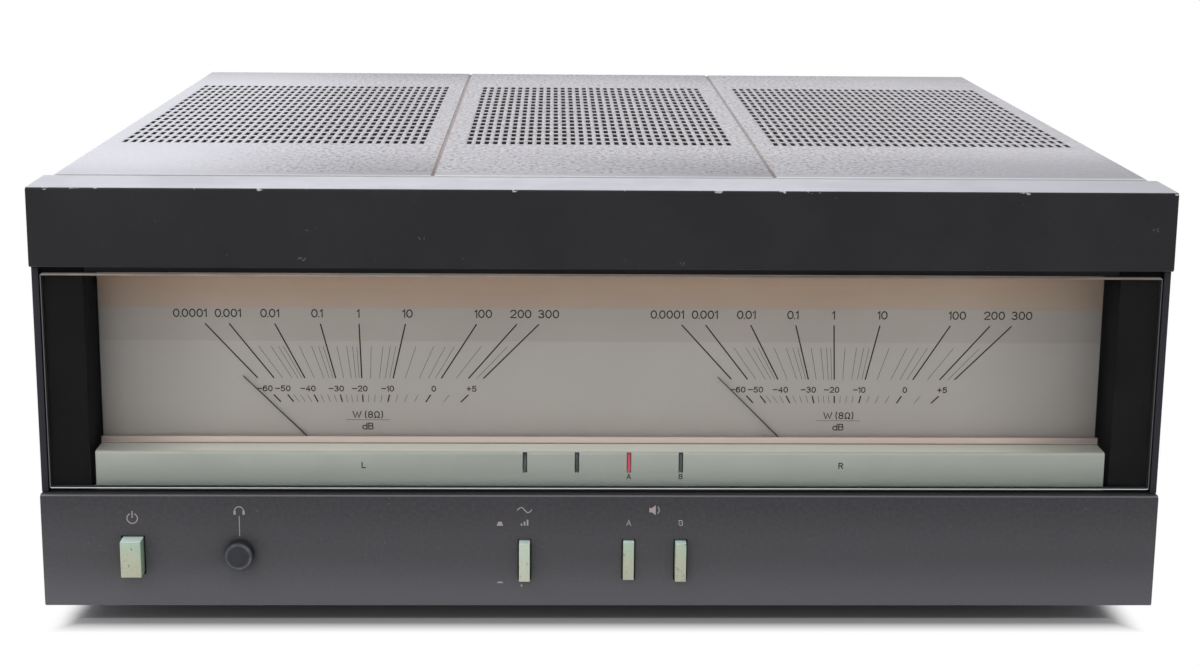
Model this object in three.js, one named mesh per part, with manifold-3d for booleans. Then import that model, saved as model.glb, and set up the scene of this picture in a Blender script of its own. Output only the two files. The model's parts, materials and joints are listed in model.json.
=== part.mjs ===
// A stereo power amplifier: a low sheet-steel cabinet with a heavy front, a wide glass window over two
// level meters, four push buttons and a capped headphone socket.
// Lengths are in millimetres. X runs to the right, Y from the front to the back, Z up.
// Every piece is drawn in the front's frame: Y is zero on the front faces and Z is zero on the floor.

import * as THREE from 'three';
import { mergeVertices } from 'three/addons/utils/BufferGeometryUtils.js';
import Module from 'manifold-3d';

const wasm = await Module();
wasm.setup();

// Gap kept between pieces that touch, and how far a cut runs past the face that it opens
const fit = 0.3;
const overrun = 1;

// Faces round a large piece, a small piece and a terminal cap's grip, and steps round a rounded edge
const round_steps = 32;
const small_steps = 20;
const grip_steps = 16;
const quarter_shares = [0, 0.25, 0.5, 0.75, 1];

// Front: the header, the window's height and the lower panel, both hollow bars open at the back
const front_width = 450;
const front_depth = 29.5;
const stand_height = 12;
const lower_panel_height = 47;
const window_height = 92.7;
const header_height = 31.8;
const front_wall = 4;
const front_flange = 3;
const lower_flange_reach = 14;
const front_bevel = 0.8;
const header_lip = 2;

// Window: the end blocks, the glass in their rabbets and the ledge along the bottom
const end_block_inset = 0.2;
const end_block_width = 19.3;
const end_strip_width = 2.8;
const end_strip_setback = 2.8;
const glass_thickness = 3;
const glass_rise = 1.7;
const glass_drop = 3.1;
const ledge_end_gap = 1.9;
const ledge_depth = 12.4;
const ledge_height = 18.9;
const ledge_strip_height = 2.8;
const ledge_strip_thickness = 1;
const ledge_edge_radius = 1.2;

// Indicator lenses let into the ledge, in line with the slim buttons under them
const control_pitch = 21;
const indicator_place_shares = [-1.5, -0.5, 0.5, 1.5];
const lens_width = 1.2;
const lens_height = 7.9;
const lens_rise = 7.6;
const lens_depth = 3.4;

// Level meters: needles between the ledge and the dial, on movements that stand through the sub-chassis
const meter_place_share = 0.474;
const meter_pivot_drop = 5.2;
const meter_body_diameter = 40;
const meter_body_depth = 30;
const meter_pin_diameter = 1.6;
const needle_front_gap = 0.5;
const needle_thickness = 0.5;
const needle_reach = 70;
const needle_root_width = 0.6;
const needle_tip_width = 0.4;
const needle_tail = 12;
const needle_tail_width = 4;
const needle_hub_diameter = 8;
const needle_hub_depth = 1.2;
const needle_rest_angle = 45;

// Dial: the scale plate behind the needles and the light guide behind it
const dial_end_gap = 2.3;
const dial_needle_gap = 1.3;
const dial_thickness = 1.5;
const guide_back_gap = 0.5;

// Sheet-metal cabinet
const sheet = 1.2;
const cabinet_depth = 400;
const cover_inset = 3.5;
const cover_rise = 0.7;
const rear_lip = 2;
const groove_place = 69.2;
const groove_width = 1.8;
const groove_depth = 0.5;

// Ventilation in the cover's top: fields of parallel runs between the grooves and the edges
const vent_pitch = 3.88;
const vent_width = 2.1;
const vent_margin = 8.6;
const vent_setback = 116.8;
const vent_rear_gap = 67;

// Feet
const foot_diameter = 40;
const foot_tread_diameter = 36;
const foot_tread_height = 2;
const foot_side_inset = 50;
const foot_front_inset = 45;
const foot_back_inset = 50;

// Power button and its switch
const power_inset = 36.4;
const power_rise = 21.8;
const power_width = 8.2;
const power_height = 15;
const power_reach = 5.9;
const power_slot_gap = 0.6;
const power_stem = 5;
const power_travel = 4;
const power_switch_width = 26;
const power_switch_height = 30;
const power_switch_depth = 34;

// Slim buttons: output, main speakers, which rests latched in, and remote speakers
const output_place_share = -1.5;
const main_place_share = 0.5;
const remote_place_share = 1.5;
const button_rise = 19.9;
const button_width = 4.4;
const button_height = 16.1;
const button_reach = 3.8;
const button_root = 9;
const button_latch_travel = 2;
const button_over_travel = 0.5;
const button_slot_gap = 0.5;
const button_stem = 3;
const stem_insertion = 7;
const switch_bank_margin = 9;
const switch_bank_height = 18;
const switch_bank_depth = 30;

// Headphone socket and its dust cap
const phones_inset = 79.1;
const phones_rise = 22.7;
const phones_bush_diameter = 8.8;
const phones_bore_diameter = 6.5;
const phones_body_diameter = 14;
const phones_back_gap = 2.5;
const phones_end_wall = 2;
const phones_cap_side = 1.1;
const phones_cap_roof = 1;
const phones_cap_bevel = 0.9;
const phones_cap_reach = 5.2;

// Heat sinks, output transistors and amplifier boards
const sink_side_gap = 15;
const sink_base = 6;
const sink_fin_reach = 85;
const sink_fin = 2.4;
const sink_fin_count = 18;
const sink_setback = 118;
const sink_rear_gap = 58.8;
const sink_height = 126;
const transistor_spread = 90;
const transistor_rise = 76;
const transistor_flange = 3;
const transistor_flange_length = 39;
const transistor_flange_width = 26;
const transistor_can_diameter = 20;
const transistor_can_depth = 7;
const board = 1.6;
const amp_board_end_gap = 10;
const amp_board_height = 110;

// Free space left between the switches, the transformer, the capacitors and the supply board
const bay_gap = 14;

// Power transformer
const core_height = 95;
const core_depth = 50;
const core_limb = 19;
const coil_build = 18;

// Supply: filter capacitors, board, rectifier and relay
const capacitor_diameter = 50;
const capacitor_height = 85;
const capacitor_gap = 14;
const capacitor_rim = 2;
const supply_side_gap = 31.8;
const supply_rear_gap = 67;
const boss_height = 8;
const boss_diameter = 7;
const boss_inset = 8;
const supply_part_place_share = 0.27;
const rectifier_side = 28;
const rectifier_height = 10;
const relay_width = 30;
const relay_depth = 24;
const relay_height = 26;

// Speaker terminals: a plate let into the rear panel, with threaded studs and turned caps
const terminal_columns = 4;
const terminal_rows = 2;
const terminal_pitch = 24;
const terminal_level = 100;
const terminal_margin = 12;
const terminal_rebate = 5;
const terminal_plate = 4;
const terminal_tail = 8;
const stud_diameter = 5;
const stud_reach = 13;
const cap_diameter = 13;
const cap_length = 16;
const cap_roof = 2;

// Other pieces on the rear panel: input sockets, fuse holder and the mains cord's bush
const rear_socket_inset = 70;
const input_level = 96;
const input_pitch = 24;
const input_sleeve_diameter = 8.2;
const input_flange_diameter = 14;
const input_flange = 2;
const input_reach = 10;
const input_tail = 9;
const input_bore_diameter = 3.4;
const input_bore_depth = 8;
const fuse_level = 76;
const fuse_cap_diameter = 15;
const fuse_cap_reach = 11;
const fuse_neck_diameter = 12;
const fuse_tail = 24;
const gland_level = 42;
const gland_flange_diameter = 18;
const gland_flange = 3;
const gland_nose_diameter = 11;
const gland_neck_diameter = 12;
const gland_bore_diameter = 7.6;
const gland_reach = 9;
const gland_tail = 5;

// Levels that several pieces share
const lower_top = stand_height + lower_panel_height;
const header_bottom = lower_top + window_height;
const header_top = header_bottom + header_height;
const ledge_bottom = lower_top + fit;
const ledge_top = ledge_bottom + ledge_height;
const ledge_shelf = ledge_top - ledge_strip_height;
const pivot_level = lower_top - meter_pivot_drop;
const power_level = stand_height + power_rise;
const button_level = stand_height + button_rise;
const phones_level = stand_height + phones_rise;
const cover_top = header_top + cover_rise;
const cover_inside = cover_top - sheet;
const base_bottom = stand_height + fit;
const base_top = base_bottom + sheet;
const floor_level = base_top + fit;
const wall_top = cover_inside - fit;

// Setbacks from the front faces, in order
const glass_back = end_strip_setback + glass_thickness;
const ledge_front = glass_back + fit;
const ledge_back = ledge_front + ledge_depth;
const needle_front = ledge_back + needle_front_gap;
const dial_front = needle_front + needle_thickness + dial_needle_gap;
const dial_back = dial_front + dial_thickness;
const hub_back = needle_front + needle_hub_depth;
const movement_front = hub_back + fit;
const cover_front = front_depth + fit;
const subchassis_back = cover_front + sheet;
const switch_front = subchassis_back + fit;
const stem_end = switch_front + stem_insertion;
const coil_front = switch_front + switch_bank_depth + bay_gap;
const core_front = coil_front + coil_build + fit;
const core_back = core_front + core_depth;
const coil_back = core_back + fit + coil_build;
const capacitor_middle = coil_back + bay_gap + capacitor_diameter / 2;
const supply_front = capacitor_middle + capacitor_diameter / 2 + bay_gap;
const rear_outside = cabinet_depth - rear_lip;
const rear_inside = rear_outside - sheet;
const supply_back = rear_inside - supply_rear_gap;
const sink_length = rear_inside - sink_rear_gap - sink_setback;
const sink_middle = sink_setback + sink_length / 2;
const flange_face = rear_outside + fit;
const terminal_face = flange_face + terminal_plate;

// Places across, from the middle outwards
const end_block_outer = front_width / 2 - end_block_inset;
const end_block_inner = end_block_outer - end_block_width;
const glass_half_width = end_block_outer - end_strip_width - fit;
const ledge_half_width = end_block_inner - ledge_end_gap;
const dial_half_width = end_block_inner - dial_end_gap;
const cover_half_width = front_width / 2 - cover_inset;
const inside_half_width = cover_half_width - sheet - fit;
const sink_tip = inside_half_width - sink_side_gap;
const sink_root = sink_tip - sink_fin_reach;
const sink_face = sink_root - sink_base;
const transistor_back = sink_face - fit;
const transistor_front = transistor_back - transistor_flange - transistor_can_depth;
const amp_board_outer = transistor_front - fit;
const amp_board_inner = amp_board_outer - board;
const supply_half_width = amp_board_inner - supply_side_gap;
const rear_socket_place = inside_half_width - rear_socket_inset;
const power_place = power_inset - front_width / 2;
const phones_place = phones_inset - front_width / 2;
const button_places = {
  output_button: output_place_share * control_pitch,
  speaker_button_main: main_place_share * control_pitch,
  speaker_button_remote: remote_place_share * control_pitch,
};
const meter_place = meter_place_share * dial_half_width;
const meter_places = { left: -meter_place, right: meter_place };
const sides = { left: -1, right: 1 };

// Finishes
function finish(colour, roughness, metalness) {
  return new THREE.MeshStandardMaterial({ color: colour, roughness, metalness });
}
const finishes = {
  header: finish(0x2d2d2f, 0.5, 0.6),
  panel: finish(0x47464a, 0.5, 0.6),
  trim_black: finish(0x1c1c1e, 0.6, 0),
  cover: finish(0x9a9aa0, 0.6, 0.3),
  steel: finish(0x8f9294, 0.4, 0.9),
  glass: finish(0xcfd6d4, 0.05, 0),
  dial: finish(0xa8a79a, 0.6, 0),
  ledge: finish(0x9ba097, 0.5, 0.2),
  lens: finish(0x3a3c3a, 0.3, 0),
  lens_red: finish(0xb03048, 0.3, 0),
  button: finish(0xb4bfa8, 0.5, 0.3),
  needle: finish(0x202020, 0.5, 0),
  rubber: finish(0x151516, 0.8, 0),
  aluminium: finish(0xa9abad, 0.4, 0.9),
  circuit_board: finish(0x4a5a2e, 0.7, 0),
  plastic: finish(0x1d1d1f, 0.5, 0),
  winding: finish(0x8a5a2a, 0.6, 0.2),
  sleeve: finish(0x24324a, 0.4, 0),
  brass: finish(0xb59a5a, 0.35, 0.9),
};

// A closed geometry as a solid that can be cut and joined
function solid(geometry) {
  const bare = geometry.clone();
  bare.deleteAttribute('normal');
  bare.deleteAttribute('uv');
  const merged = mergeVertices(bare);
  const corners = merged.index.array;
  const kept = [];
  for (let i = 0; i < corners.length; i += 3) {
    const [a, b, c] = corners.slice(i, i + 3);
    if (a !== b && b !== c && c !== a) kept.push(a, b, c);
  }
  return new wasm.Manifold(new wasm.Mesh({
    numProp: 3,
    vertProperties: new Float32Array(merged.attributes.position.array),
    triVerts: new Uint32Array(kept),
  }));
}

// A solid back as a geometry
function shaped(body) {
  const mesh = body.getMesh();
  const geometry = new THREE.BufferGeometry();
  geometry.setAttribute('position', new THREE.BufferAttribute(mesh.vertProperties, 3));
  geometry.setIndex(new THREE.BufferAttribute(mesh.triVerts, 1));
  geometry.computeVertexNormals();
  return geometry;
}

// A block between two values on each axis, given in either order
function block([x0, x1], [y0, y1], [z0, z1]) {
  const geometry = new THREE.BoxGeometry(Math.abs(x1 - x0), Math.abs(y1 - y0), Math.abs(z1 - z0));
  geometry.translate((x0 + x1) / 2, (y0 + y1) / 2, (z0 + z1) / 2);
  return solid(geometry);
}

// An outline drawn on two axes and run along the third, from one value to another
function prism(points, from, to, across, up) {
  const outline = new THREE.Shape(points.map(([u, v]) => new THREE.Vector2(u, v)));
  const geometry = new THREE.ExtrudeGeometry(outline, { depth: to - from, bevelEnabled: false });
  geometry.translate(0, 0, from);
  const along = new THREE.Vector3().crossVectors(across, up);
  geometry.applyMatrix4(new THREE.Matrix4().makeBasis(across, up, along));
  return solid(geometry);
}
const axis_x = new THREE.Vector3(1, 0, 0);
const axis_y = new THREE.Vector3(0, 1, 0);
const axis_z = new THREE.Vector3(0, 0, 1);
const prism_x = (points, x0, x1) => prism(points, x0, x1, axis_y, axis_z);
const prism_y = (points, y0, y1) => prism(points, -y1, -y0, axis_x, axis_z);
const prism_z = (points, z0, z1) => prism(points, z0, z1, axis_x, axis_y);

// A profile of radius and place along the axis, turned about Y, Z or X
function turned(profile, steps) {
  return new THREE.LatheGeometry(profile.map(([radius, along]) => new THREE.Vector2(radius, along)), steps);
}
const turned_y = (profile, steps) => solid(turned(profile, steps));
const turned_z = (profile, steps) => solid(turned(profile, steps).rotateX(Math.PI / 2));
const turned_x = (profile, steps) => solid(turned(profile, steps).rotateZ(-Math.PI / 2));
const rod = (radius, from, to) => [[0, from], [radius, from], [radius, to], [0, to]];

// The origin lies on the floor under the middle of the whole, so the front's frame is set forward
const front_end = -power_reach;
const rear_end = terminal_face + fit + cap_length;
const amplifier = new THREE.Group();
const front = new THREE.Group();
front.position.y = -(front_end + rear_end) / 2;
amplifier.add(front);

function place(name, body, material, [x, y, z] = [0, 0, 0]) {
  const mesh = new THREE.Mesh(shaped(body), finishes[material]);
  mesh.name = name;
  mesh.position.set(x, y, z);
  front.add(mesh);
}

// A hollow bar across the front with bevelled front edges, its foot at zero
function front_bar(height) {
  const outline = [
    [front_bevel, 0], [front_depth, 0], [front_depth, height],
    [front_bevel, height], [0, height - front_bevel], [0, front_bevel],
  ];
  const inner = front_width / 2 - front_flange;
  return prism_x(outline, -front_width / 2, front_width / 2).subtract(
    block([-inner, inner], [front_wall, front_depth + overrun], [front_flange, height - front_flange]));
}

// The header has a lip behind the glass, as deep as the glass stands below it
function make_header() {
  const lip = block([fit - end_block_inner, end_block_inner - fit], [ledge_front, ledge_front + header_lip],
    [-glass_drop, front_flange / 2]);
  place('header_panel', front_bar(header_height).add(lip), 'header', [0, 0, header_bottom]);
}

// The lower panel's top flange stops short, so that the needles' tails pass behind it
function make_lower_panel() {
  const inner = front_width / 2 - front_flange;
  let bar = front_bar(lower_panel_height).subtract(
    block([-inner, inner], [lower_flange_reach, front_depth + overrun],
      [lower_panel_height / 2, lower_panel_height + overrun]));
  bar = bar.subtract(slot_cut(power_place, power_rise, power_width, power_height, power_slot_gap));
  for (const x of Object.values(button_places)) {
    bar = bar.subtract(slot_cut(x, button_rise, button_width, button_height, button_slot_gap));
  }
  const bush_hole = turned_y(rod(phones_bush_diameter / 2 + fit, -overrun, front_wall + overrun), small_steps);
  bar = bar.subtract(bush_hole.translate([phones_place, 0, phones_rise]));
  place('lower_panel', bar, 'panel', [0, 0, stand_height]);
}

// The opening in the front wall round a control
function slot_cut(x, rise, width, height, gap) {
  const half_width = width / 2 + gap;
  const half_height = height / 2 + gap;
  return block([x - half_width, x + half_width], [-overrun, front_wall + overrun],
    [rise - half_height, rise + half_height]);
}

// End blocks close the window's sides and hold the glass in a rabbet
function make_end_blocks() {
  const lip = end_block_outer - end_strip_width;
  const outline = [
    [end_block_outer, end_strip_setback], [end_block_outer, front_depth], [end_block_inner, front_depth],
    [end_block_inner, ledge_front], [lip, ledge_front], [lip, end_strip_setback],
  ];
  for (const [side, sign] of Object.entries(sides)) {
    const body = prism_z(outline.map(([x, y]) => [sign * x, y]), lower_top + fit, header_bottom - fit);
    place(`window_end_${side}`, body, 'trim_black');
  }
}

function make_glass() {
  place('window_glass', block([-glass_half_width, glass_half_width], [end_strip_setback, glass_back],
    [lower_top + glass_rise, header_bottom - glass_drop]), 'glass');
}

// The dial reaches down behind the ledge as far as the meter movements
function make_dial() {
  const across = [-dial_half_width, dial_half_width];
  const levels = [pivot_level + meter_body_diameter / 2 + fit, header_bottom - fit];
  place('scale_plate', block(across, [dial_front, dial_back], levels), 'dial');
  place('light_guide', block(across, [dial_back + fit, front_depth - guide_back_gap], levels), 'glass');
}

// The ledge under the dial: a bar with a rounded front edge and an upright strip along its back
const ledge_nose = small_arc([ledge_front + ledge_edge_radius, ledge_shelf - ledge_edge_radius], ledge_edge_radius);
const ledge_section = [
  [ledge_front, ledge_bottom], [ledge_back, ledge_bottom], [ledge_back, ledge_top],
  [ledge_back - ledge_strip_thickness, ledge_top], [ledge_back - ledge_strip_thickness, ledge_shelf],
  ...ledge_nose,
];

// Points round a quarter of a circle, from straight above its middle to straight in front of it
function small_arc([y, z], radius) {
  return quarter_shares.map((share) => {
    const angle = share * Math.PI / 2;
    return [y - radius * Math.sin(angle), z + radius * Math.cos(angle)];
  });
}

function make_ledge() {
  let bar = prism_x(ledge_section, -ledge_half_width, ledge_half_width);
  for (const share of indicator_place_shares) {
    bar = bar.subtract(lens_block(share * control_pitch, fit, overrun));
  }
  place('window_ledge', bar, 'ledge');
}

// The block of one indicator lens, wider by a gap and run out of the ledge's face for a cut
function lens_block(x, gap, out) {
  const half = lens_width / 2 + gap;
  const low = ledge_bottom + lens_rise;
  return block([x - half, x + half], [ledge_front - out, ledge_front + lens_depth + gap],
    [low - gap, low + lens_height + gap]);
}

function make_lenses() {
  indicator_place_shares.forEach((share, index) => {
    const x = share * control_pitch;
    const lens = lens_block(x, 0, 0).intersect(prism_x(ledge_section, x - lens_width, x + lens_width));
    place(`indicator_lens_${index + 1}`, lens, share === main_place_share ? 'lens_red' : 'lens');
  });
}

// Meter movements, whose pins carry the needles
function make_meters() {
  const back = movement_front + meter_body_depth;
  const movement = turned_y([
    [0, needle_front], [meter_pin_diameter / 2, needle_front], [meter_pin_diameter / 2, movement_front],
    [meter_body_diameter / 2, movement_front], [meter_body_diameter / 2, back], [0, back],
  ], round_steps);
  for (const [side, x] of Object.entries(meter_places)) {
    place(`meter_movement_${side}`, movement, 'plastic', [x, 0, pivot_level]);
    place(`meter_needle_${side}`, needle(), 'needle', [x, 0, pivot_level]);
  }
}

// A tapered pointer with its tail and hub, at the rest angle left of upright
function needle() {
  const pointer = [
    [-needle_tail_width / 2, -needle_tail], [needle_tail_width / 2, -needle_tail],
    [needle_root_width / 2, 0], [needle_tip_width / 2, needle_reach],
    [-needle_tip_width / 2, needle_reach], [-needle_root_width / 2, 0],
  ];
  const lean = THREE.MathUtils.degToRad(needle_rest_angle);
  const leaning = pointer.map(([u, v]) => [
    u * Math.cos(lean) - v * Math.sin(lean),
    u * Math.sin(lean) + v * Math.cos(lean),
  ]);
  const hub = turned_y(rod(needle_hub_diameter / 2, needle_front, hub_back), small_steps);
  const bore = rod(meter_pin_diameter / 2 + fit, needle_front - overrun, hub_back + overrun);
  return prism_y(leaning, needle_front, needle_front + needle_thickness)
    .add(hub)
    .subtract(turned_y(bore, small_steps));
}

// A square stem at its place and level, wider by a gap for a cut
function stem_block(x, level, side, gap, span) {
  const half = side / 2 + gap;
  return block([x - half, x + half], span, [level - half, level + half]);
}

// The sub-chassis behind the front, with holes for the stems and the meter movements
function make_subchassis() {
  const through = [cover_front - overrun, subchassis_back + overrun];
  let plate = block([-inside_half_width, inside_half_width], [cover_front, subchassis_back],
    [floor_level, wall_top]);
  for (const x of Object.values(meter_places)) {
    const hole = turned_y(rod(meter_body_diameter / 2 + fit, ...through), round_steps);
    plate = plate.subtract(hole.translate([x, 0, pivot_level]));
  }
  plate = plate.subtract(stem_block(power_place, power_level, power_stem, fit, through));
  for (const x of Object.values(button_places)) {
    plate = plate.subtract(stem_block(x, button_level, button_stem, fit, through));
  }
  place('front_subchassis', plate, 'steel');
}

// A button: its cap in the panel's slot and the stem that runs back into the switch
function button(x, level, width, height, reach, stem) {
  const cap = block([x - width / 2, x + width / 2], [-reach, button_root],
    [level - height / 2, level + height / 2]);
  return cap.add(stem_block(x, level, stem, 0, [0, stem_end]));
}

function make_buttons() {
  place('power_button',
    button(power_place, power_level, power_width, power_height, power_reach, power_stem), 'button');
  for (const [name, x] of Object.entries(button_places)) {
    const pressed = name === 'speaker_button_main' ? button_latch_travel : 0;
    const body = button(x, button_level, button_width, button_height, button_reach, button_stem);
    place(name, body, 'button', [0, pressed, 0]);
  }
}

// Switch bodies behind the sub-chassis, with pockets as deep as their stems can go
function make_switches() {
  const power_pocket = [switch_front - overrun, stem_end + power_travel + fit];
  const power_switch = block(
    [power_place - power_switch_width / 2, power_place + power_switch_width / 2],
    [switch_front, switch_front + power_switch_depth],
    [power_level - power_switch_height / 2, power_level + power_switch_height / 2],
  ).subtract(stem_block(power_place, power_level, power_stem, fit, power_pocket));
  place('power_switch', power_switch, 'plastic');
  const places = Object.values(button_places);
  const pocket = [switch_front - overrun, stem_end + button_latch_travel + button_over_travel + fit];
  let bank = block([Math.min(...places) - switch_bank_margin, Math.max(...places) + switch_bank_margin],
    [switch_front, switch_front + switch_bank_depth],
    [button_level - switch_bank_height / 2, button_level + switch_bank_height / 2]);
  for (const x of places) bank = bank.subtract(stem_block(x, button_level, button_stem, fit, pocket));
  place('switch_bank', bank, 'plastic');
}

// The headphone socket, held in the lower panel's wall, and the dust cap pushed over its bush
function make_phones() {
  const cap_inside = phones_cap_roof - phones_cap_reach;
  const bush_front = cap_inside + fit;
  const shoulder = front_wall + fit;
  const back = cover_front - phones_back_gap;
  const bore_end = back - phones_end_wall;
  const jack = turned_y([
    [0, bore_end], [phones_bore_diameter / 2, bore_end], [phones_bore_diameter / 2, bush_front],
    [phones_bush_diameter / 2, bush_front], [phones_bush_diameter / 2, shoulder],
    [phones_body_diameter / 2, shoulder], [phones_body_diameter / 2, back], [0, back],
  ], small_steps);
  place('phones_jack', jack, 'steel', [phones_place, 0, phones_level]);
  const inner = phones_bush_diameter / 2 + fit;
  const outer = inner + phones_cap_side;
  const cap = turned_y([
    [0, -phones_cap_reach], [outer - phones_cap_bevel, -phones_cap_reach],
    [outer, phones_cap_bevel - phones_cap_reach], [outer, -fit], [inner, -fit],
    [inner, cap_inside], [0, cap_inside],
  ], small_steps);
  place('phones_cap', cap, 'rubber', [phones_place, 0, phones_level]);
}

// One ventilated field of the cover: as many runs as fit between two places across it
function vent_cuts(from, to) {
  const room = to - from - vent_margin - vent_margin;
  const count = Math.floor((room - vent_width) / vent_pitch) + 1;
  const cuts = [];
  for (let run = 0; run < count; run += 1) {
    const x = (from + to) / 2 + (run - (count - 1) / 2) * vent_pitch;
    cuts.push(block([x - vent_width / 2, x + vent_width / 2], [vent_setback, cabinet_depth - vent_rear_gap],
      [cover_inside - overrun, cover_top + overrun]));
  }
  return cuts;
}

// The folded cover: top and sides of one sheet, with two pressed grooves and the ventilated fields
function make_cover() {
  const half = cover_half_width;
  const outline = [
    [-half, base_bottom], [-half, cover_top], [half, cover_top], [half, base_bottom],
    [half - sheet, base_bottom], [half - sheet, cover_inside],
    [sheet - half, cover_inside], [sheet - half, base_bottom],
  ];
  const grooves = [-groove_place, groove_place].map((x) => block(
    [x - groove_width / 2, x + groove_width / 2], [cover_front - overrun, cabinet_depth + overrun],
    [cover_top - groove_depth, cover_top + overrun]));
  const vents = [
    ...vent_cuts(-half, -groove_place),
    ...vent_cuts(-groove_place, groove_place),
    ...vent_cuts(groove_place, half),
  ];
  const cover = prism_y(outline, cover_front, cabinet_depth)
    .subtract(wasm.Manifold.union([...grooves, ...vents]));
  place('top_cover', cover, 'cover');
}

// The base plate with the bosses that carry the supply board
function make_base() {
  let plate = block([-inside_half_width, inside_half_width], [cover_front, rear_outside],
    [base_bottom, base_top]);
  const boss = turned_z(rod(boss_diameter / 2, base_bottom, base_top + boss_height), small_steps);
  for (const sign of Object.values(sides)) {
    for (const y of [supply_front + boss_inset, supply_back - boss_inset]) {
      plate = plate.add(boss.translate([sign * (supply_half_width - boss_inset), y, 0]));
    }
  }
  place('base_plate', plate, 'steel');
}

function make_feet() {
  const foot = turned_z([
    [0, 0], [foot_tread_diameter / 2, 0], [foot_diameter / 2, foot_tread_height],
    [foot_diameter / 2, stand_height], [0, stand_height],
  ], round_steps);
  const rows = { front: cover_front + foot_front_inset, back: cabinet_depth - foot_back_inset };
  for (const [row, y] of Object.entries(rows)) {
    for (const [side, sign] of Object.entries(sides)) {
      const x = sign * (front_width / 2 - foot_side_inset);
      place(`foot_${row}_${side}`, foot, 'rubber', [x, y, 0]);
    }
  }
}

// Heat sinks: an upright base whose fins stand towards the cabinet's side
function make_heat_sinks() {
  const pitch = (sink_length - sink_fin) / (sink_fin_count - 1);
  const outline = [[sink_face, sink_setback]];
  for (let fin = 0; fin < sink_fin_count; fin += 1) {
    const start = sink_setback + fin * pitch;
    if (fin > 0) outline.push([sink_root, start]);
    outline.push([sink_tip, start], [sink_tip, start + sink_fin]);
    if (fin < sink_fin_count - 1) outline.push([sink_root, start + sink_fin]);
  }
  outline.push([sink_face, sink_setback + sink_length]);
  for (const [side, sign] of Object.entries(sides)) {
    const sink = prism_z(outline.map(([x, y]) => [sign * x, y]), floor_level, floor_level + sink_height);
    place(`heat_sink_${side}`, sink, 'aluminium');
  }
}

// An output transistor on the right heat sink's inner face: a six-sided flange and a round can
function transistor() {
  const half_length = transistor_flange_length / 2;
  const half_width = transistor_flange_width / 2;
  const radius = transistor_can_diameter / 2;
  const flange = prism_x([
    [-half_length, 0], [-radius, -half_width], [radius, -half_width],
    [half_length, 0], [radius, half_width], [-radius, half_width],
  ], transistor_back - transistor_flange, transistor_back);
  const can = rod(radius, transistor_front, transistor_back - transistor_flange / 2);
  return flange.add(turned_x(can, small_steps));
}

function make_output_stage() {
  const level = floor_level + transistor_rise;
  const half_length = sink_length / 2 - amp_board_end_gap;
  for (const [side, sign] of Object.entries(sides)) {
    const body = sign < 0 ? transistor().mirror([1, 0, 0]) : transistor();
    place(`output_transistor_${side}_1`, body, 'steel', [0, sink_middle - transistor_spread / 2, level]);
    place(`output_transistor_${side}_2`, body, 'steel', [0, sink_middle + transistor_spread / 2, level]);
    place(`amp_board_${side}`, block([sign * amp_board_inner, sign * amp_board_outer],
      [sink_middle - half_length, sink_middle + half_length], [floor_level, floor_level + amp_board_height]),
      'circuit_board');
  }
}

// The transformer: a laminated core with two windows and the coil round its middle limb
function make_transformer() {
  const window_outer = core_limb + fit + coil_build + fit;
  const half = window_outer + core_limb;
  const window_low = floor_level + core_limb;
  const window_high = floor_level + core_height - core_limb;
  let core = block([-half, half], [core_front, core_back], [floor_level, floor_level + core_height]);
  for (const sign of Object.values(sides)) {
    core = core.subtract(block([sign * core_limb, sign * window_outer],
      [core_front - overrun, core_back + overrun], [window_low, window_high]));
  }
  place('transformer_core', core, 'steel');
  const inner = core_limb + fit;
  const outer = inner + coil_build;
  const coil = block([-outer, outer], [coil_front, coil_back], [window_low + fit, window_high - fit])
    .subtract(block([-inner, inner], [core_front - fit, core_back + fit], [window_low, window_high]));
  place('transformer_coil', coil, 'winding');
}

function make_supply() {
  const radius = capacitor_diameter / 2;
  const can = turned_z([
    [0, 0], [radius, 0], [radius, capacitor_height - capacitor_rim],
    [radius - capacitor_rim, capacitor_height], [0, capacitor_height],
  ], round_steps);
  for (const [side, sign] of Object.entries(sides)) {
    const x = sign * (capacitor_diameter + capacitor_gap) / 2;
    place(`filter_capacitor_${side}`, can, 'sleeve', [x, capacitor_middle, floor_level]);
  }
  const board_low = base_top + boss_height + fit;
  const part_low = board_low + board + fit;
  const middle = (supply_front + supply_back) / 2;
  const offset = supply_part_place_share * (supply_half_width + supply_half_width);
  place('supply_board', block([-supply_half_width, supply_half_width], [supply_front, supply_back],
    [board_low, board_low + board]), 'circuit_board');
  place('rectifier', block([-rectifier_side / 2, rectifier_side / 2], [-rectifier_side / 2, rectifier_side / 2],
    [0, rectifier_height]), 'plastic', [-offset, middle, part_low]);
  place('speaker_relay', block([-relay_width / 2, relay_width / 2], [-relay_depth / 2, relay_depth / 2],
    [0, relay_height]), 'glass', [offset, middle, part_low]);
}

// Round openings in the rear panel: place across, level and the diameter that passes through
const input_levels = { left: input_level + input_pitch / 2, right: input_level - input_pitch / 2 };
const rear_holes = [
  ...Object.values(input_levels).map((level) => [-rear_socket_place, level, input_sleeve_diameter]),
  [rear_socket_place, gland_level, gland_neck_diameter],
  [rear_socket_place, fuse_level, fuse_neck_diameter],
];

// Half sizes of the terminal plate; its insert through the rear panel is smaller by the rebate
const terminal_half_width = (terminal_columns - 1) * terminal_pitch / 2 + terminal_margin;
const terminal_half_height = (terminal_rows - 1) * terminal_pitch / 2 + terminal_margin;

function terminal_slab(smaller, span) {
  const half_width = terminal_half_width - smaller;
  const half_height = terminal_half_height - smaller;
  return block([-half_width, half_width], span, [terminal_level - half_height, terminal_level + half_height]);
}

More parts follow.
